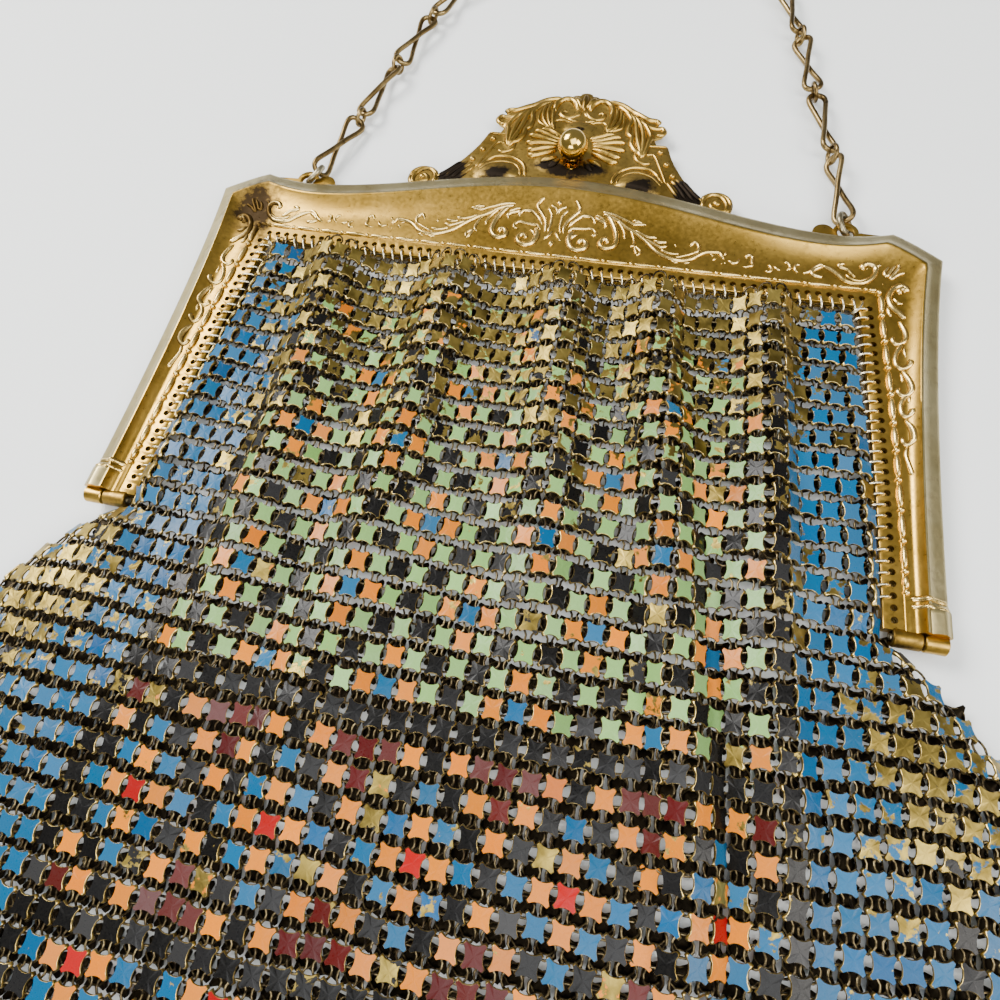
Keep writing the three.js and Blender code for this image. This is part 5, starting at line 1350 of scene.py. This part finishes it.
def lead_of(side):
    a = math.radians(RING_LEANS[0 if side < 0 else 1])
    return np.array([math.sin(a), math.cos(a), 0])


def ring_path(centre, lead, tilt, radius, steps):
    a = 2 * np.pi * np.arange(steps) / steps
    t = math.radians(tilt)
    lift = np.array([lead[1], -lead[0], 0]) * math.sin(t) + np.array([0, 0, math.cos(t)])
    return centre + radius * (np.cos(a)[:, None] * lead + np.sin(a)[:, None] * lift)


def jump_rings():
    for side, name in ((-1, "jump_ring_left"), (1, "jump_ring_right")):
        lead = lead_of(side)
        hole = np.array([side * LUG_HALF, lug_y(), (LUG_Z0 + LUG_Z1) / 2])
        path = ring_path(hole + lead * RING_R, lead, -side * RING_TILT, RING_R, 56)
        v, f = sweep(path, RING_WIRE / 2, 16, closed=True, up=None)
        make(name + "_wire", v, outward(v, f), [M_GREY], replaces=(name,))


def chain_joints():
    """Evenly spaced points along the chain's route, a smooth curve through its points."""
    mid = (LUG_Z0 + LUG_Z1) / 2
    reach = 2 * RING_R - RING_WIRE / 2 - LINK_WIRE / 2 - 0.15
    ends = [np.array([s * LUG_HALF, lug_y(), mid]) + lead_of(s) * reach for s in (-1, 1)]
    p = np.array([ends[0]] + [(x, lug_y() + up, mid) for x, up in ROUTE] + [ends[1]])
    q = np.concatenate([[2 * p[0] - p[1]], p, [2 * p[-1] - p[-2]]])
    out = []
    for i in range(len(p) - 1):
        a, b, c, d = q[i:i + 4]
        k0, k1, k2 = (np.linalg.norm(v - u) ** 0.5 for u, v in ((a, b), (b, c), (c, d)))
        t1 = ((b - a) / k0 - (c - a) / (k0 + k1) + (c - b) / k1) * k1
        t2 = ((c - b) / k1 - (d - b) / (k1 + k2) + (d - c) / k2) * k1
        for t in np.arange(0, 1, 0.02):
            out.append(b + t1 * t + (3 * c - 3 * b - 2 * t1 - t2) * t ** 2
                       + (2 * b - 2 * c + t1 + t2) * t ** 3)
    out = np.array(out + [p[-1]])
    s = np.concatenate([[0], np.cumsum(np.linalg.norm(np.diff(out, axis=0), axis=1))])
    want = np.linspace(0, s[-1], LINKS + 1)
    return np.column_stack([np.interp(want, s, out[:, i]) for i in range(3)])


def chain():
    at = chain_joints()
    hold = LOOP_R - LOOP_WIRE / 2 - LINK_WIRE / 2 + 0.25
    links, loops = Build(), Build()
    for k in range(LINKS):
        lead = at[k + 1] - at[k]
        lead /= np.linalg.norm(lead)
        last = k == LINKS - 1
        a, b = at[k] + lead * (0 if k == 0 else hold), at[k + 1] - lead * (0 if last else hold)
        roll = math.radians(LINK_END_ROLL if k == 0 or last else LINK_ROLL * (-1 if k % 2 else 1))
        across = np.array([-lead[1], lead[0], 0]) * math.cos(roll) + np.array([0, 0, math.sin(roll)])
        up = -np.cross(lead, across)
        t = 2 * np.pi * np.arange(60) / 60
        path = ((a + b) / 2 + lead * (np.linalg.norm(b - a) / 2 * np.cos(t))[:, None]
                + across * (0.5 * LINK_WIDE * (np.sin(2 * t) + 0.2 * np.sin(4 * t)))[:, None]
                + up * (LINK_TWIST * np.sin(t))[:, None])
        v, f = sweep(path, LINK_WIRE / 2, 12, closed=True, up=None)
        links.add(v, outward(v, f))
    for k in range(1, LINKS):
        lead = at[k + 1] - at[k - 1]
        lead /= np.linalg.norm(lead)
        path = ring_path(at[k], lead, LOOP_TILT if k % 2 else -LOOP_TILT, LOOP_R, 36)
        v, f = sweep(path, LOOP_WIRE / 2, 10, closed=True, up=None)
        loops.add(v, outward(v, f))
    ob = make("chain_links", links.points(), links.f, [M_CHAIN], replaces=("chain",))
    cut(ob, make("loops", loops.points(), loops.f, [M_CHAIN], body=None), "UNION")
    sharpen(ob, 60)


def tube(x0, x1, r_out, r_in, segs=28):
    """Ring about the hinge line with softened edges."""
    c = 0.16
    rows = [(x0 + c, r_out), (x1 - c, r_out), (x1, r_out - c), (x1, r_in), (x0, r_in), (x0, r_out - c)]
    v = []
    for i in range(segs):
        a = 2 * math.pi * i / segs
        v += [(x, HINGE_Y + r * math.cos(a), SEAM_Z + r * math.sin(a)) for x, r in rows]
    v = np.array(v)
    f = grid_faces(segs, len(rows), close_cols=True, close_rows=True)
    return v, outward(v, f)


def hinges():
    for name, spans in (("front_knuckles", (69.4, 72.8)), ("back_knuckles", (64.8, 69.1))):
        b = Raised()
        v, f = tube(*spans, KNUCKLE_R, PIN_R + 0.25)
        b.put(v, f, 0.12 if name[0] == "f" else 0.55, mirror=True)
        ob = make(name, b.points(), b.f, [M_FRAME], attrs={"dirt_and_shade": b.grime_and_shade()})
        sharpen(ob, 30)
    for side, name in ((-1, "hinge_pin_left"), (1, "hinge_pin_right")):
        xs = (64.5, 64.6, 65.1, 72.5, 73.0, 73.1)
        radii = (0.35, 0.52, 0.6, 0.6, 0.52, 0.35)
        v, f = sweep([(side * x, HINGE_Y, SEAM_Z) for x in xs], radii, 16)
        ob = make(name + "_rod", v, outward(v, f), [M_GREY], replaces=(name,))
        sharpen(ob, 50)


frame_relief()
crest()
knob()
lugs()
jump_rings()
chain()
hinges()


# Stage, light and camera

def stage():
    me = bpy.data.meshes.new("floor")
    corners = ((-3, -3), (3, -3), (3, 3), (-3, 3))
    me.from_pydata([(x, y, -0.0002) for x, y in corners], [], [(0, 1, 2, 3)])
    m, nt, b = material("floor_white")
    b.inputs["Base Color"].default_value = rgba(232, 235, 234)
    b.inputs["Roughness"].default_value = 0.6
    me.materials.append(m)
    floor = bpy.data.objects.new("floor", me)
    bpy.context.scene.collection.objects.link(floor)

    def area(name, place, aim, size, power, colour):
        light = bpy.data.lights.new(name, "AREA")
        light.shape = "RECTANGLE"
        light.size, light.size_y = size
        light.energy = power
        light.color = colour
        ob = bpy.data.objects.new(name, light)
        ob.location = place
        ob.rotation_mode = "QUATERNION"
        ob.rotation_quaternion = (Vector(aim) - Vector(place)).to_track_quat("-Z", "Y")
        bpy.context.scene.collection.objects.link(ob)

    area("key", (-0.75, 0.34, 0.80), (0, 0, 0), (0.6, 0.5), 24.0, (1.0, 0.98, 0.95))
    area("fill", (0.80, -0.25, 0.70), (0, 0, 0), (0.5, 0.5), 9.0, (1.0, 0.96, 0.90))
    area("low", (-0.1, -0.80, 0.40), (0, -0.02, 0), (0.5, 0.25), 5.0, (1.0, 0.99, 0.98))
    area("sky", (0.25, -0.50, 1.25), (0, 0, 0), (1.0, 0.9), 17.0, (0.98, 0.99, 1.0))
    w = bpy.data.worlds.new("studio")
    bpy.context.scene.world = w
    w.use_nodes = True
    nt = w.node_tree
    bg = nt.nodes["Background"]
    bg.inputs[0].default_value = (0.80, 0.84, 0.88, 1)
    bg.inputs[1].default_value = 0.30


FOCAL = 732.22                               # in pixels of a picture 1000 wide
EYE = (10.955353, -50.45585, 59.107162)      # in hole pitches from the flange's middle


def camera():
    """The photo's view, as fitted to the flange's holes and both ends of the frame."""
    right = Vector((0.9744942, 0.2085087, -0.0829768))
    down = Vector((0.1600280, -0.9048812, -0.3944377))
    ahead = Vector((-0.1573278, 0.3710986, -0.9151687))
    cam = bpy.data.cameras.new("camera")
    cam.sensor_width = 36
    cam.lens = FOCAL * cam.sensor_width / 1000
    cam.clip_start = 0.005
    ob = bpy.data.objects.new("camera", cam)
    m = Matrix((right, -down, -ahead)).transposed().to_4x4()
    x, y, z = np.array(EYE) * PITCH
    m.translation = Vector((x * 0.001, (y + SHIFT_Y) * 0.001, (z + SEAM_Z + FLANGE_Z) * 0.001))
    ob.matrix_world = m
    bpy.context.scene.collection.objects.link(ob)
    bpy.context.scene.camera = ob


stage()
camera()
